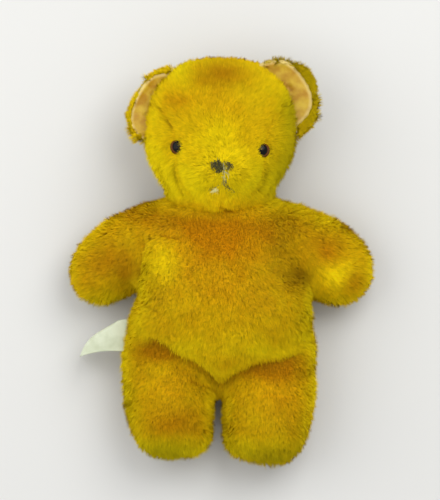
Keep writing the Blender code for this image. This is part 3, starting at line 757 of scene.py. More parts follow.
def locks_of(roots, rng):
    """The number of the lock that each tuft belongs to."""
    (short, weak), (long, strong) = LOCK_WAVES
    wave = np.sin(roots[:, [1, 2, 0]] / short) * weak
    wave = wave + np.sin(roots[:, [2, 0, 1]] / long) * strong
    loose = roots / LOCK_SIZE + wave + rng.normal(0.0, LOCK_EDGE, roots.shape)
    x, y, z = np.floor(loose).astype(np.int64).T * np.array(LOCK_PRIMES)[:, None]
    keys = x ^ y ^ z
    return np.unique(keys, return_inverse=True)[1]


def gathered(tips, locks, pinch):
    """Draws the tips of each lock together."""
    count = np.bincount(locks)
    middle = np.stack([np.bincount(locks, tips[:, i]) / count for i in range(3)], axis=1)
    return tips + (middle[locks] - tips) * pinch[:, None]


def tuft_corners(tufts, rng, lean):
    """The root, two waist corners and tip of each tuft, its shading and its tone."""
    count = len(tufts["root"])
    locks = locks_of(tufts["root"], rng)
    shaggy, calm = np.maximum(tufts["shag"], 0.0), np.minimum(tufts["shag"], 0.0)
    flank = (1.0 - ramp(tufts["normal"][:, 2], -0.05, 0.5)) * (1.0 + calm) + shaggy
    flank = np.minimum(flank, 1.4)
    lock_turn = rng.normal(0.0, 1.0, locks.max() + 1)[locks]
    lock_turn = lock_turn * (LOCK_TURN[0] + LOCK_TURN[1] * flank) * (1.0 + calm)
    lock_tone = rng.random(locks.max() + 1)[locks]
    lock_reach = rng.uniform(-1.0, 1.0, locks.max() + 1)[locks]
    lock_reach = 1.0 + lock_reach * (LOCK_REACH[0] + LOCK_REACH[1] * flank)
    turn = lock_turn + rng.normal(0.0, TUFT_TURN, count)
    lie = turned_in_plane(tufts["lie"], tufts["normal"], turn)
    guard = rng.random(count) < GUARD_SHARE
    reach = tufts["length"] * lock_reach * rng.uniform(*REACH_SPREAD, count)
    upright = lean * (1.0 - 0.35 * flank)
    bends = []
    for i in range(2):
        bend = np.where(guard, GUARD_LEAN[i], COAT_LEAN[i]) * upright
        bend = bend + rng.normal(0.0, LEAN_SPREAD[i], count)
        bends.append(tufts["normal"] * np.cos(bend)[:, None] + lie * np.sin(bend)[:, None])
    waist = tufts["root"] + bends[0] * (reach * 0.5)[:, None]
    tip = waist + bends[1] * (reach * 0.5)[:, None]
    pinch = FLAT_PINCH + (SIDE_PINCH - FLAT_PINCH) * flank
    pinch = pinch * rng.uniform(*PINCH_SPREAD, count) * (1.0 + calm)
    tip = gathered(tip, locks, pinch)
    waist = gathered(waist, locks, pinch * 0.35)
    for end in (tip, waist):
        end[:, 2] = np.maximum(end[:, 2], FLOOR_GAP)
    along = unit(tip - tufts["root"])
    across = unit(np.cross(along, tufts["normal"]))
    across = turned_in_plane(across, along, rng.normal(0.0, TUFT_ROLL, count))
    width = TUFT_WIDTH * np.where(guard, GUARD_WIDTH, 1.0)
    width = width * rng.uniform(*WIDTH_SPREAD, count) / 2.0 * (1.0 + 0.3 * calm)
    left, right = waist - across * width[:, None], waist + across * width[:, None]
    tone = LOCK_TONE * lock_tone + OWN_TONE * rng.random(count) - MEAN_TONE
    tone = 0.5 + tone * (TONE_SPREAD[0] + TONE_SPREAD[1] * shaggy)
    facing = unit(np.cross(across, along))
    facing *= np.sign((facing * tufts["normal"]).sum(axis=1, keepdims=True) + 1e-9)
    sideways = (1.0 - ramp(np.abs(tufts["normal"][:, 2]), 0.2, 0.8))[:, None]
    sideways *= ramp(tufts["normal"][:, 2:], -0.8, -0.4)
    upward = unit(np.array([0.0, 0.0, 1.0]) - along * along[:, 2:])
    shading = tufts["normal"] * 0.85 + facing * 0.30 + along * 0.15 + upward * sideways * 0.9
    return np.stack([tufts["root"], left, right, tip], axis=1), unit(shading), tone


def place_order(roots):
    """Orders tufts so that neighbours on the bear get neighbouring baking cells."""
    last = 2**CELL_BITS - 1
    grid = (roots - roots.min(axis=0)) / (np.ptp(roots, axis=0).max() + 1e-9)
    grid = np.clip(grid * last, 0, last).astype(np.int64)
    code = np.zeros(len(roots), np.int64)
    for bit in range(CELL_BITS):
        for axis in range(3):
            code |= ((grid[:, axis] >> bit) & 1) << (3 * bit + axis)
    return np.argsort(code)


def baking_cells(count):
    """The corner places of every tuft's two triangles in the baking map."""
    side = math.ceil(math.sqrt(count))
    index = np.arange(count)
    low = np.stack([index % side, index // side], axis=1) / side
    low_edge, span = CELL_MARGIN, 1.0 - 2.0 * CELL_MARGIN
    middle, high_edge = low_edge + span / 2, low_edge + span
    inside = np.array([
        (middle, low_edge), (low_edge, middle), (high_edge, middle), (middle, high_edge),
    ])
    corner = inside[[0, 2, 1, 1, 2, 3]]
    return low[:, None, :] + corner[None, :, :] / side


FACE_SEAMS = (
    ((-40, 103), (-38, 100)), ((-35.5, 95.5), (-33, 91), (-31, 88.5)),
    ((-30, 66), (-29, 59), (-26, 51), (-24, 47)), ((28, 60), (26, 54), (23.5, 50)),
)
CHIN_SEAM = (((0, 39.5), (5, 36.4), (9, 35.2), (13, 35)),)
# Fold and seam lines on each form: lines, width, overhang, darkening and opening. The darkening is
# painted shade in the hip creases, the small creases, the face seams and the chin fold.
FLATTENED = {
    "knit_body": (
        (HIP_CREASES, 3.6, 3.4, 0.16, 0.0), (HIP_CREASES, 1.3, 1.6, 0.55, 0.0),
        (SMALL_CREASES, 1.2, 1.6, 0.26, 0.0),
    ),
    "knit_head": ((FACE_SEAMS, 0.6, 0.0, 0.22, 0.7), (CHIN_SEAM, 1.2, 0.0, 0.60, 0.0)),
}
RAGGED = 0.35
UNEVEN = 0.20
SHORTENED = 0.45
HANGING_AT = 1.2 * MM
HANGING_REACH = 1.8 * MM


def flattened(tufts, lines, width, overhung, darkened, opened, rng):
    """Shortens the tufts along lines, whose width and overhang are in mm, and paints shade there.

    A line that is opened parts them to both sides.
    """
    width, overhung = width * MM, overhung * MM
    ragged = rng.normal(0.0, RAGGED * width, len(tufts["root"]))
    uneven = rng.normal(0.0, UNEVEN if overhung else 0.0, len(tufts["root"]))
    front = ramp(tufts["normal"][:, 2], 0.1, 0.5)
    for line in lines:
        past = past_line(tufts["root"], line)
        near = bell(past + overhung + ragged, width) * front
        hanging = bell(past - HANGING_AT, HANGING_REACH) * front
        tufts["length"] = tufts["length"] * (1.0 - SHORTENED * near + uneven * hanging)
        tufts["darkened"] = tufts["darkened"] + darkened * near
        # Painted shade in the fold: the tufts there are darker and turned towards ochre.
        tufts["worn"] = np.clip(tufts["worn"] + 1.4 * darkened * near, 0.0, 1.0)
        if opened:
            run = np.subtract(line[-1], line[0])
            away = np.array([-run[1], run[0], 0.0]) / np.linalg.norm(run)
            turn = opened * np.sign(past) * bell(past, 3.0 * width) * front
            tufts["lie"] = unit(tufts["lie"] + turn[:, None] * away)
    return tufts


def grow_pile(name, item, state, chosen, seed, per_mm2=TUFTS_PER_MM2, lean=1.0):
    """Grows one part of the pile over a form, and makes it ride with the bear."""
    rng = np.random.default_rng(seed)
    tufts = spread_roots(item, state, chosen, per_mm2, rng)
    for lines, width, overhung, darkened, opened in FLATTENED.get(item.name, ()):
        tufts = flattened(tufts, lines, width, overhung, darkened, opened, rng)
    order = place_order(tufts["root"])
    tufts = {key: values[order] for key, values in tufts.items()}
    corners, shading, tone = tuft_corners(tufts, rng, lean)
    count = len(corners)
    mesh = bpy.data.meshes.new(name)
    mesh.vertices.add(count * 4)
    mesh.vertices.foreach_set("co", corners.ravel())
    winding = (np.arange(count)[:, None] * 4 + np.array([0, 2, 1, 1, 2, 3])[None, :]).ravel()
    mesh.loops.add(count * 6)
    mesh.loops.foreach_set("vertex_index", winding.astype(np.int32))
    mesh.polygons.add(count * 2)
    mesh.polygons.foreach_set("loop_start", np.arange(count * 2, dtype=np.int32) * 3)
    layer = mesh.uv_layers.new(name="OFBake")
    layer.data.foreach_set("uv", baking_cells(count).ravel())
    mesh.update(calc_edges=True)
    mesh.shade_smooth()
    set_attribute(mesh, "along", np.tile([0.0, 0.55, 0.55, 1.0], count))
    set_attribute(mesh, "tone", np.repeat(tone, 4))
    set_attribute(mesh, "worn", np.repeat(tufts["worn"], 4))
    set_attribute(mesh, "darkened", np.repeat(tufts["darkened"], 4))
    mesh.normals_split_custom_set_from_vertices(np.repeat(shading, 4, axis=0))
    mesh.materials.append(pile_material)
    pile = placed(name, mesh)
    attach(pile, "root")


LEG_TOP = -80 * MM
ARM_START = 54 * MM
ARM_BOTTOM = -40 * MM
FRONT_BOTTOM = 16 * MM
FACE_BOTTOM = 42 * MM


def is_leg(middles):
    return middles[:, 1] < LEG_TOP + 0.5 * np.abs(middles[:, 0])


def is_arm(middles):
    return (np.abs(middles[:, 0]) > ARM_START) & (middles[:, 1] > ARM_BOTTOM)


def is_front(middles, facing):
    return (facing[:, 2] > -0.25) & (middles[:, 2] > FRONT_BOTTOM)


EYE_HEIGHT = 3.6 * MM
EYE_PRESSED_IN = 0.7 * MM
EYE_CLEAR = {"left": 3.3 * MM, "right": 3.9 * MM}
EYE_OVERHUNG = 1.3 * MM


def eye_place(side):
    """The frame of an eye on the axis of its stem, at the underside of its rim."""
    eye, washer = (
        vertex_places(nodes[name + side].data) for name in ("eye_", "eye_washer_")
    )
    axis = Vector(eye.mean(axis=0) - washer.mean(axis=0)).normalized()
    middle = Vector(washer.mean(axis=0))
    top = ((eye - np.array(middle)) @ np.array(axis)).max()
    turn = axis.to_track_quat("Z", "Y").to_matrix().to_4x4()
    return Matrix.Translation(middle + axis * (top - EYE_HEIGHT - EYE_PRESSED_IN)) @ turn


eye_middles = [
    np.array(eye_place(side).translation) + np.array([outward * EYE_OVERHUNG, 0.0, 0.0])
    for side, outward in (("left", -1.0), ("right", 1.0))
]


def clear_of_eyes(chosen):
    """Keeps the pile from growing through the eyes."""
    def clear(middles, facing):
        away = [
            np.linalg.norm(middles - eye, axis=1) > gap
            for eye, gap in zip(eye_middles, EYE_CLEAR.values())
        ]
        return chosen(middles, facing) & np.all(away, axis=0)
    return clear


BODY_PILES = {
    "pile_belly": lambda m, f: ~is_leg(m) & ~is_arm(m) & is_front(m, f),
    "pile_back": lambda m, f: ~is_leg(m) & ~is_arm(m) & ~is_front(m, f),
    "pile_arm_left": lambda m, f: is_arm(m) & (m[:, 0] < 0.0),
    "pile_arm_right": lambda m, f: is_arm(m) & (m[:, 0] > 0.0),
    "pile_leg_left": lambda m, f: is_leg(m) & (m[:, 0] < 0.0),
    "pile_leg_right": lambda m, f: is_leg(m) & (m[:, 0] >= 0.0),
}
HEAD_PILES = {
    "pile_face": lambda m, f: m[:, 2] > FACE_BOTTOM,
    "pile_nape": lambda m, f: m[:, 2] <= FACE_BOTTOM,
}
for seed, (pile_name, chosen) in enumerate(BODY_PILES.items(), 1):
    grow_pile(pile_name, body, body_state, chosen, seed)
for seed, (pile_name, chosen) in enumerate(HEAD_PILES.items(), 11):
    grow_pile(pile_name, head, head_state, clear_of_eyes(chosen), seed)

# The ears: flaps of the same plush, turned under at the rim and caught in the seam of the head.
# Their pile runs outward from the head and stands off the rim, where it is a little darker.
EAR_GRID = 1.2 * MM
EAR_ROUNDING = 6
EAR_DEPTH = 1.5 * MM
EAR_PILE = 4.4 * MM
EAR_MIDDLE = (-0.3 * MM, 85.0 * MM)
EAR_TUFTS_PER_MM2 = 17.0
UNDER_LINING = 3.0 * MM
SETTLED_EARS = {
    "left": ((-58, 84, 9, 0.5),), "right": ((45, 134, 9, 1.0), (63, 104, 9, 0.4)),
}
PULLED_EARS = {
    "left": ((-55, 121, 8, 1.2, -1.0), (-61, 107, 11, -1.8, 0.4), (-60, 86, 9, -0.6, -1.2)),
    "right": ((57, 124, 12, 6.2, 2.0), (37, 134, 10, 0.0, 1.0)),
}
EAR_WORN = {"left": 0.22, "right": 0.28}
EAR_SOILED = {"left": -0.05, "right": 0.30}
EAR_SHAG = -0.75
EAR_LEAN = 0.9
EAR_SEED = 21


def ear_lie(places):
    x, y, _ = places.T
    return np.stack([x - EAR_MIDDLE[0], y - EAR_MIDDLE[1], 0.0 * x], axis=1)


ears = {}
for side in ("left", "right"):
    ear = stuffed_form("knit_ear_" + side, ("ear_back_" + side,), EAR_GRID, EAR_ROUNDING)
    places = vertex_places(ear.data)
    sunk = places - vertex_normals(ear.data) * EAR_DEPTH
    move_vertices(ear, pulled(sunk, PULLED_EARS[side]))
    settle(ear, SETTLED_EARS[side])
    places, normals = vertex_places(ear.data), vertex_normals(ear.data)
    mottle = 0.2 * noise_at(places, 8 * MM, 5)
    state = {
        "lie": turned_in_plane(unit(ear_lie(places)), normals, 0.15 * noise_at(places, 9 * MM, 6)),
        "length": EAR_PILE * (1.0 + 0.5 * mottle), "worn": EAR_WORN[side] + mottle,
        "darkened": np.full(len(places), EAR_SOILED[side]),
        "thick": np.ones(len(places)), "normal": normals, "shag": np.full(len(places), EAR_SHAG),
    }
    cover_with_knit(ear, state)
    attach(ear, "root")
    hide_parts("ear_back_" + side)
    ears[side] = ear, state

# The ear linings: pinkish gold satin with a short nap, eased into the cup of each ear and
# sewn down inside the rim, where it puckers and grows paler towards its edge. Its lighter
# patches are painted sheen.
LINING_EARS = {
    "left": {"angle": 156.0, "half_chord": 27.0 * MM, "reach": 20.0 * MM},
    "right": {"angle": 35.0, "half_chord": 27.4 * MM, "reach": 26.4 * MM},
}
LINING_SIT = 45.0 * MM
LINING_SHARE = 0.91
LINING_RISE = 0.9 * MM
EAR_LEVEL = 45.0 * MM
LINING_THICKNESS = 0.5 * MM
LINING_SQUARENESS = 2.5
LINING_TUCK = 1.4 * MM
LINING_HIDDEN = 1.5 * MM
LINING_RINGS = 16
LINING_SPOKES = 90
PUCKERS = 30
PUCKER_DEPTH = 0.35 * MM
PUFF = 1.1 * MM
SATIN_GOLD = (0.44, 0.22, 0.006, 1.0)
SATIN_LIGHT = (0.63, 0.43, 0.03, 1.0)
SATIN_EDGE = (0.78, 0.62, 0.22, 1.0)
SATIN_SHEEN = (1.0, 0.75, 0.2, 1.0)

satin, tree, shader = new_material(
    "ear_satin", 0.34, Sheen_Weight=0.15, Sheen_Roughness=0.35, Sheen_Tint=SATIN_SHEEN,
    Specular_IOR_Level=0.30,
)
sheen_patches = textured(tree, "Noise", 130.0, Detail=3.0)["Fac"]
lightness = mapped(tree, sheen_patches, 0.35, 0.70, 0.0, 1.0)
inner_colour = mixed(tree, lightness, SATIN_GOLD, SATIN_LIGHT)
edge_share = mapped(tree, attribute(tree, "edge"), 0.86, 0.95, 0.0, 0.8)
tree.links.new(mixed(tree, edge_share, inner_colour, SATIN_EDGE), shader.inputs["Base Color"])
raised(tree, shader, textured(tree, "Noise", 1500.0)["Fac"], 0.25 * MM)


def surface_below(tree, x, y):
    """The topmost place of a surface at x and y, and its normal."""
    return tree.ray_cast(Vector((x, y, 1.0)), Vector((0.0, 0.0, -1.0)))[:2]


def out_of(tree, place):
    """How far a place is above the surface nearest to it. It is negative inside."""
    near, normal, _, _ = tree.find_nearest(place)
    return (Vector(place) - near).dot(normal)


head_tree = surface_tree(head)
for side, shape in LINING_EARS.items():
    angle = math.radians(shape["angle"])
    out = Vector((math.cos(angle), math.sin(angle), 0.0))
    chord = Vector((out.y, -out.x, 0.0))
    axes = Matrix((chord, out, Vector((0.0, 0.0, 1.0)))).transposed()
    middle = Vector((*EAR_MIDDLE, 0.0)) + out * LINING_SIT
    ear, state = ears[side]
    ear_tree = surface_tree(ear)
    bm = bmesh.new()
    edge_layer = bm.verts.layers.float.new("edge")
    rows = []
    for i in range(LINING_RINGS + 1):
        share = i / LINING_RINGS
        row = []
        for j in range(LINING_SPOKES if i else 1):
            turn = 2 * math.pi * j / LINING_SPOKES
            x, y = math.cos(turn), math.sin(turn)
            power = LINING_SQUARENESS
            swell = (abs(x) ** power + abs(y) ** power) ** (-1.0 / power)
            wide = LINING_SHARE * share * swell
            spot = Vector((x * shape["half_chord"], y * shape["reach"], 0.0)) * wide
            wander = noise.noise(spot * 90.0)
            crease = math.sin(turn * PUCKERS + 5.0 * wander) * share**4
            puff = PUFF * (1.0 - share**2) * (1.0 + 0.5 * wander)
            tuck = LINING_TUCK * max(0.0, share - 0.9) / 0.1
            spot = middle + axes @ spot
            skin = surface_below(ear_tree, spot.x, spot.y)[0]
            skin = skin or ear_tree.find_nearest(Vector((spot.x, spot.y, EAR_LEVEL)))[0]
            spot.z = skin.z + LINING_RISE + puff + PUCKER_DEPTH * crease - tuck
            vertex = bm.verts.new(spot)
            vertex[edge_layer] = share
            row.append(vertex)
        rows.append(row)
    for j in range(LINING_SPOKES):
        k = (j + 1) % LINING_SPOKES
        bm.faces.new((rows[0][0], rows[1][j], rows[1][k]))
        for low, high in zip(rows[1:], rows[2:]):
            bm.faces.new((low[j], high[j], high[k], low[k]))
    inside = [v for v in bm.verts if out_of(head_tree, v.co) < -LINING_HIDDEN]
    bmesh.ops.delete(bm, geom=inside, context="VERTS")
    bmesh.ops.recalc_face_normals(bm, faces=bm.faces[:])
    lining = built("satin_" + side, bm)
    cloth = lining.modifiers.new("cloth", "SOLIDIFY")
    cloth.thickness = LINING_THICKNESS
    cloth.offset = -1.0
    apply_modifiers(lining)
    lining.data.materials.append(satin)
    lining.data.shade_smooth()
    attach(lining, "root")
    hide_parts("ear_lining_" + side)
    lining_tree = surface_tree(lining)

    def on_plush(middles, facing):
        """Not under the lining, and not inside the head."""
        keep = []
        for place, face in zip(middles, facing):
            start = Vector(place) - Vector((0.0, 0.0, UNDER_LINING))
            covered = face[2] > 0.0 and lining_tree.ray_cast(start, Vector((0.0, 0.0, 1.0)))[0]
            keep.append(not covered and out_of(head_tree, place) > 0.0)
        return np.array(keep)

    seed = EAR_SEED + len(side)
    grow_pile("pile_ear_" + side, ear, state, on_plush, seed, EAR_TUFTS_PER_MM2, EAR_LEAN)

# The eyes: domed amber plastic with a black pupil behind it, on a stem that a washer locks
# inside the head. The pile of the bridge leans over their inner sides.
EYE_RADIUS = 5.0 * MM
EYE_DOME = 3.1 * MM
EYE_RIM = 0.7 * MM
STEM_RADIUS = 1.5 * MM
STEM_LENGTH = 8.6 * MM
EYE_ARCS = 12
EYE_SPOKES = 48
PUPIL_SHIFT = (0.7 * MM, 0.4 * MM)
PUPIL_BLACK = (0.0035, 0.003, 0.0025, 1.0)
AMBER = (0.13, 0.040, 0.003, 1.0)
AMBER_EDGE = (0.05, 0.014, 0.002, 1.0)

eye_plastic, tree, shader = new_material(
    "eye_plastic", 0.12, Coat_Weight=0.05, Coat_Roughness=0.05, Specular_IOR_Level=0.12
)
eye_out = attribute(tree, "out")
amber = mixed(tree, mapped(tree, eye_out, 0.95, 1.1, 0.0, 1.0), AMBER, AMBER_EDGE)
pupil = mapped(tree, eye_out, 0.78, 0.90, 1.0, 0.0)
tree.links.new(mixed(tree, pupil, amber, PUPIL_BLACK), shader.inputs["Base Color"])
scuffs = mapped(tree, textured(tree, "Noise", 700.0)["Fac"], 0.4, 0.75, 0.09, 0.32)
tree.links.new(scuffs, shader.inputs["Roughness"])

for side in ("left", "right"):
    bm = bmesh.new()
    out_layer = bm.verts.layers.float.new("out")
    arc = [math.pi / 2 * i / EYE_ARCS for i in range(EYE_ARCS + 1)]
    profile = [(EYE_RADIUS * math.sin(a), EYE_RIM + EYE_DOME * math.cos(a)) for a in arc]
    profile += [
        (EYE_RADIUS, 0.2 * MM), (EYE_RADIUS * 0.96, 0.0), (STEM_RADIUS, 0.0),
        (STEM_RADIUS, -STEM_LENGTH), (0.0, -STEM_LENGTH),
    ]
    place = eye_place(side)
    inward = 1.0 if side == "left" else -1.0
    pupil_middle = place.translation + Vector((inward * PUPIL_SHIFT[0], PUPIL_SHIFT[1], 0.0))
    turned = []
    for radius, height in profile:
        ring = []
        for j in range(EYE_SPOKES if radius > 0.0 else 1):
            turn = 2 * math.pi * j / EYE_SPOKES
            spot = Vector((radius * math.cos(turn), radius * math.sin(turn), height))
            vertex = bm.verts.new(place @ spot)
            from_pupil = Vector((vertex.co.x - pupil_middle.x, vertex.co.y - pupil_middle.y))
            vertex[out_layer] = from_pupil.length / EYE_RADIUS if height >= 0.0 else 1.0
            ring.append(vertex)
        turned.append(ring)
    for upper, lower in zip(turned, turned[1:]):
        for j in range(EYE_SPOKES):
            k = (j + 1) % EYE_SPOKES
            corners = [upper[j % len(upper)], lower[j % len(lower)],
                       lower[k % len(lower)], upper[k % len(upper)]]
            bm.faces.new(list(dict.fromkeys(corners)))
    eye = built("amber_eye_" + side, bm)
    eye.data.materials.append(eye_plastic)
    eye.data.shade_smooth()
    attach(eye, "root")
    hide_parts("eye_" + side)

# The washers: pale moulded plastic rings, pressed onto the stems to lock the eyes. They sit out
# of sight in the filling, so they keep their plain form and only take the marks of the mould.
WASHER_GREY = (0.62, 0.62, 0.58, 1.0)
WASHER_PALE = (0.80, 0.80, 0.77, 1.0)

washer_plastic, tree, shader = new_material("washer_plastic", 0.5)
mould_marks = textured(tree, "Noise", 400.0)["Fac"]
washer_colour = mixed(tree, mould_marks, WASHER_GREY, WASHER_PALE)
tree.links.new(washer_colour, shader.inputs["Base Color"])
for side in ("left", "right"):
    washer = nodes["eye_washer_" + side]
    washer.data.materials.clear()
    washer.data.materials.append(washer_plastic)

# The nose and mouth: soft black cotton laid over the muzzle in loose stitches. Most of it has
# worn through, so ends stand up frayed and the pile shows between them; some threads are pale.
PLY_RADIUS = 0.24 * MM
THREAD_LIFT = 0.9
THREAD_DARK = (0.030, 0.028, 0.004, 1.0)
THREAD_FADED = (0.16, 0.13, 0.02, 1.0)
THREAD_PALE = (0.74, 0.72, 0.36, 1.0)

cotton, tree, shader = new_material("worn_cotton", 0.85, Sheen_Weight=0.2, Specular_IOR_Level=0.2)
dark_cotton = mixed(tree, attribute(tree, "faded"), THREAD_DARK, THREAD_FADED)
tree.links.new(
    mixed(tree, attribute(tree, "pale"), dark_cotton, THREAD_PALE), shader.inputs["Base Color"]
)


def on_muzzle(x, y, lift):
    """A place above the backing of the muzzle."""
    spot, normal = surface_below(head_tree, x, y)
    return np.array(spot + normal * lift)


def stitched(name, stitches, tangles, seed, node_name):
    """Frayed stitches, each (x1, y1, x2, y2, plies, faded, pale, lift) in millimetres, and oval
    tangles of broken thread, each (x, y, half width, half height, threads, faded, pale, lift).
    """
    rng = np.random.default_rng(seed)
    verts, faces, faded_values, pale_values = [], [], [], []
    sides, steps = 5, 7
    stitches = list(stitches)
    for x, y, wide, high, count, faded, pale, lift in tangles:
        for _ in range(count):
            turn, out = rng.uniform(0.0, 2 * math.pi), math.sqrt(rng.random())
            x1, y1 = x + wide * out * math.cos(turn), y + high * out * math.sin(turn)
            run = rng.normal(0.0, 1.0, 2) + [0.0, -0.8]
            x2, y2 = x1 + run[0], y1 + run[1]
            stitches.append((x1, y1, x2, y2, 1, faded, pale, lift - 0.5 * out))
    for x1, y1, x2, y2, plies, faded, pale, lift in stitches:
        for _ in range(plies):
            start = np.array([x1, y1]) + rng.normal(0.0, 0.45, 2)
            end = np.array([x2, y2]) + rng.normal(0.0, 0.55, 2)
            end = start + (end - start) * rng.uniform(0.7, 1.1)
            bow = rng.normal(0.0, 0.5, 2)
            shade = float(np.clip(faded + rng.normal(0.0, 0.18), 0.0, 1.0))
            rise = rng.uniform(0.0, 0.5)
            line = []
            for t in np.linspace(0.0, 1.0, steps):
                x, y = start + (end - start) * t + bow * 4.0 * t * (1.0 - t)
                curl = rise * (2.0 * abs(t - 0.5)) ** 3
                lifted = (lift + THREAD_LIFT + curl + 0.3 * rng.random()) * MM
                line.append(on_muzzle(x * MM, y * MM, lifted))
            line = np.array(line)
            along = unit(np.gradient(line, axis=0))
            side = unit(np.cross(along, [0.0, 0.0, 1.0]))
            up = np.cross(side, along)
            first = len(verts)
            for k in range(steps):
                radius = PLY_RADIUS * (0.55 if k in (0, steps - 1) else 1.0)
                for s in range(sides):
                    turn = 2 * math.pi * s / sides
                    offset = side[k] * math.cos(turn) + up[k] * math.sin(turn)
                    verts.append(line[k] + offset * radius)
                    faded_values.append(shade)
                    pale_values.append(pale)
            for k in range(steps - 1):
                for s in range(sides):
                    a = first + k * sides + s
                    b = first + k * sides + (s + 1) % sides
                    faces.append((a, b, b + sides, a + sides))
            faces.append(tuple(first + s for s in reversed(range(sides))))
            faces.append(tuple(first + (steps - 1) * sides + s for s in range(sides)))
    mesh = bpy.data.meshes.new(name)
    mesh.from_pydata([tuple(v) for v in verts], [], faces)
    set_attribute(mesh, "faded", faded_values)
    set_attribute(mesh, "pale", pale_values)
    mesh.materials.append(cotton)
    mesh.shade_smooth()
    piece = placed(name, mesh)
    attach(piece, "root")
    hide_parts(node_name)


NOSE_STITCHES = (
    (-6.4, 65.4, -5.0, 61.2, 2, 0.30, 0.0, 1.6), (-4.6, 66.4, -3.6, 61.8, 3, 0.05, 0.0, 1.8),
    (-2.8, 66.6, -0.8, 62.2, 3, 0.0, 0.0, 1.9), (-0.6, 65.4, 1.6, 61.6, 3, 0.15, 0.0, 1.8),
    (-5.4, 64.6, 0.4, 62.6, 3, 0.05, 0.0, 1.9), (-2.0, 61.6, -1.2, 58.8, 1, 0.75, 0.0, 1.4),
    (-2.4, 68.4, -1.8, 66.0, 1, 0.7, 0.0, 1.4), (3.8, 64.8, 4.8, 61.4, 2, 0.35, 0.0, 1.7),
    (4.8, 65.0, 6.0, 61.8, 2, 0.15, 0.0, 1.8), (1.6, 65.6, 2.4, 61.2, 2, 0.9, 0.35, 1.5),
)
NOSE_TANGLES = (
    (-2.2, 63.8, 3.8, 2.5, 90, 0.08, 0.0, 1.8), (-1.2, 62.0, 2.4, 1.6, 30, 0.15, 0.0, 1.6),
    (5.0, 63.4, 1.6, 1.8, 24, 0.30, 0.0, 1.7), (2.2, 62.2, 1.2, 2.0, 8, 0.8, 0.4, 1.5),
)
MOUTH_STITCHES = (
    (1.6, 60.4, 4.2, 55.8, 2, 0.5, 0.6, 1.6), (1.6, 54.6, 1.8, 51.8, 1, 0.7, 0.1, 1.0),
    (1.6, 52.6, 4.4, 50.8, 2, 0.6, 0.0, 1.0), (4.2, 51.2, 7.2, 48.6, 2, 0.5, 0.0, 1.0),
    (-1.2, 51.8, -4.8, 50.4, 1, 0.6, 0.0, 0.9), (-4.4, 50.6, -9.2, 48.4, 2, 0.8, 0.0, 0.7),
    (-2.4, 50.8, -3.0, 48.4, 3, 0.5, 1.0, 1.7), (-2.8, 49.6, -6.2, 47.8, 3, 0.5, 1.0, 1.6),
)
MOUTH_TANGLES = (
    (2.4, 58.0, 1.3, 2.2, 9, 0.5, 0.55, 1.4), (2.6, 54.2, 1.6, 1.8, 14, 0.75, 0.1, 1.1),
    (4.6, 50.4, 2.4, 1.2, 16, 0.6, 0.0, 0.9), (7.2, 47.4, 1.0, 1.8, 8, 0.85, 0.0, 0.7),
    (-5.4, 50.0, 3.6, 0.9, 14, 0.8, 0.0, 0.8), (-3.6, 49.2, 1.6, 1.0, 18, 0.5, 1.0, 1.6),
)
stitched("worn_nose", NOSE_STITCHES, NOSE_TANGLES, 31, "nose_embroidery")
stitched("worn_mouth", MOUTH_STITCHES, MOUTH_TANGLES, 32, "mouth_stitches")

# The care label: a white ribbon caught in the side seam at the left hip, and left blank.
# Handling has soiled it and curled its upper edge down and under.
RIBBON_WIDTH = 21.5 * MM
RIBBON_FREE = 29.0 * MM
RIBBON_TUCK = 7.0 * MM
RIBBON_CURL = 3.0 * MM
RIBBON_TURN = 1.6
RIBBON_THICKNESS = 0.3 * MM
RIBBON_BOW = 1.6 * MM
RIBBON_WAVE = 0.5 * MM
RIBBON_TILT = 0.10
RIBBON_COLUMNS = 30
RIBBON_ROWS = 26
RIBBON_ROOT = (-67.5 * MM, -61.6 * MM)
RIBBON_SWING = math.radians(187.0)
RIBBON_LEVEL = 31.5 * MM
RIBBON_SAG = 6.5 * MM
RIBBON_WHITE = (0.68, 0.73, 0.54, 1.0)
RIBBON_SOILED = (0.48, 0.53, 0.34, 1.0)

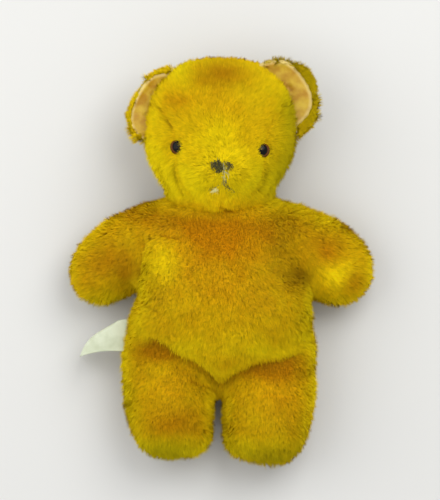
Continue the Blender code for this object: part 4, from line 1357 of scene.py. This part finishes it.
ribbon, tree, shader = new_material("ribbon_satin", 0.42, Sheen_Weight=0.15)
soiling = textured(tree, "Noise", 110.0, Detail=4.0)["Fac"]
darkened = mapped(tree, soiling, 0.42, 0.72, 0.0, 0.7)
tree.links.new(mixed(tree, darkened, RIBBON_WHITE, RIBBON_SOILED), shader.inputs["Base Color"])
raised(tree, shader, textured(tree, "Wave", 900.0)["Fac"], 0.06 * MM)


def ribbon_place(along, across):
    """Where a point of the ribbon lies: along from the seam, across from its lower edge."""
    free = max(0.0, along) / RIBBON_FREE
    curl = 0.2 * MM + RIBBON_CURL * min(1.0, 5.0 * free) * (1.0 - 0.6 * free)
    start = RIBBON_WIDTH * (1.0 - 0.62 * free - 0.38 * free**6) - curl
    past = max(0.0, across - start)
    bend = min(past / curl, RIBBON_TURN)
    straight = past - bend * curl
    over = curl * math.sin(bend) + straight * math.cos(RIBBON_TURN)
    down = curl * (1.0 - math.cos(bend)) + straight * math.sin(RIBBON_TURN)
    flat_across = min(across, start) + over
    ahead = Vector((math.cos(RIBBON_SWING), math.sin(RIBBON_SWING)))
    up = Vector((-math.sin(RIBBON_TILT), math.cos(RIBBON_TILT)))
    bow = RIBBON_BOW * math.sin(math.pi * free)
    upward = flat_across + bow * (1.0 - across / RIBBON_WIDTH)
    spot = Vector(RIBBON_ROOT) + ahead * along + up * upward
    level = RIBBON_LEVEL - RIBBON_SAG * free**1.5 - down + RIBBON_WAVE * math.sin(6.0 * free)
    return Vector((spot.x, spot.y, level))


bm = bmesh.new()
grid = []
for i in range(RIBBON_COLUMNS + 1):
    along = -RIBBON_TUCK + (RIBBON_FREE + RIBBON_TUCK) * i / RIBBON_COLUMNS
    across = [RIBBON_WIDTH * j / RIBBON_ROWS for j in range(RIBBON_ROWS + 1)]
    grid.append([bm.verts.new(ribbon_place(along, share)) for share in across])
for near, far in zip(grid, grid[1:]):
    for j in range(RIBBON_ROWS):
        bm.faces.new((near[j], far[j], far[j + 1], near[j + 1]))
bmesh.ops.recalc_face_normals(bm, faces=bm.faces[:])
label = built("blank_ribbon", bm)
weave = label.modifiers.new("weave", "SOLIDIFY")
weave.thickness = RIBBON_THICKNESS
weave.offset = 0.0
apply_modifiers(label)
label.data.materials.append(ribbon)
label.data.shade_smooth()
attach(label, "root")
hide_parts("care_label")
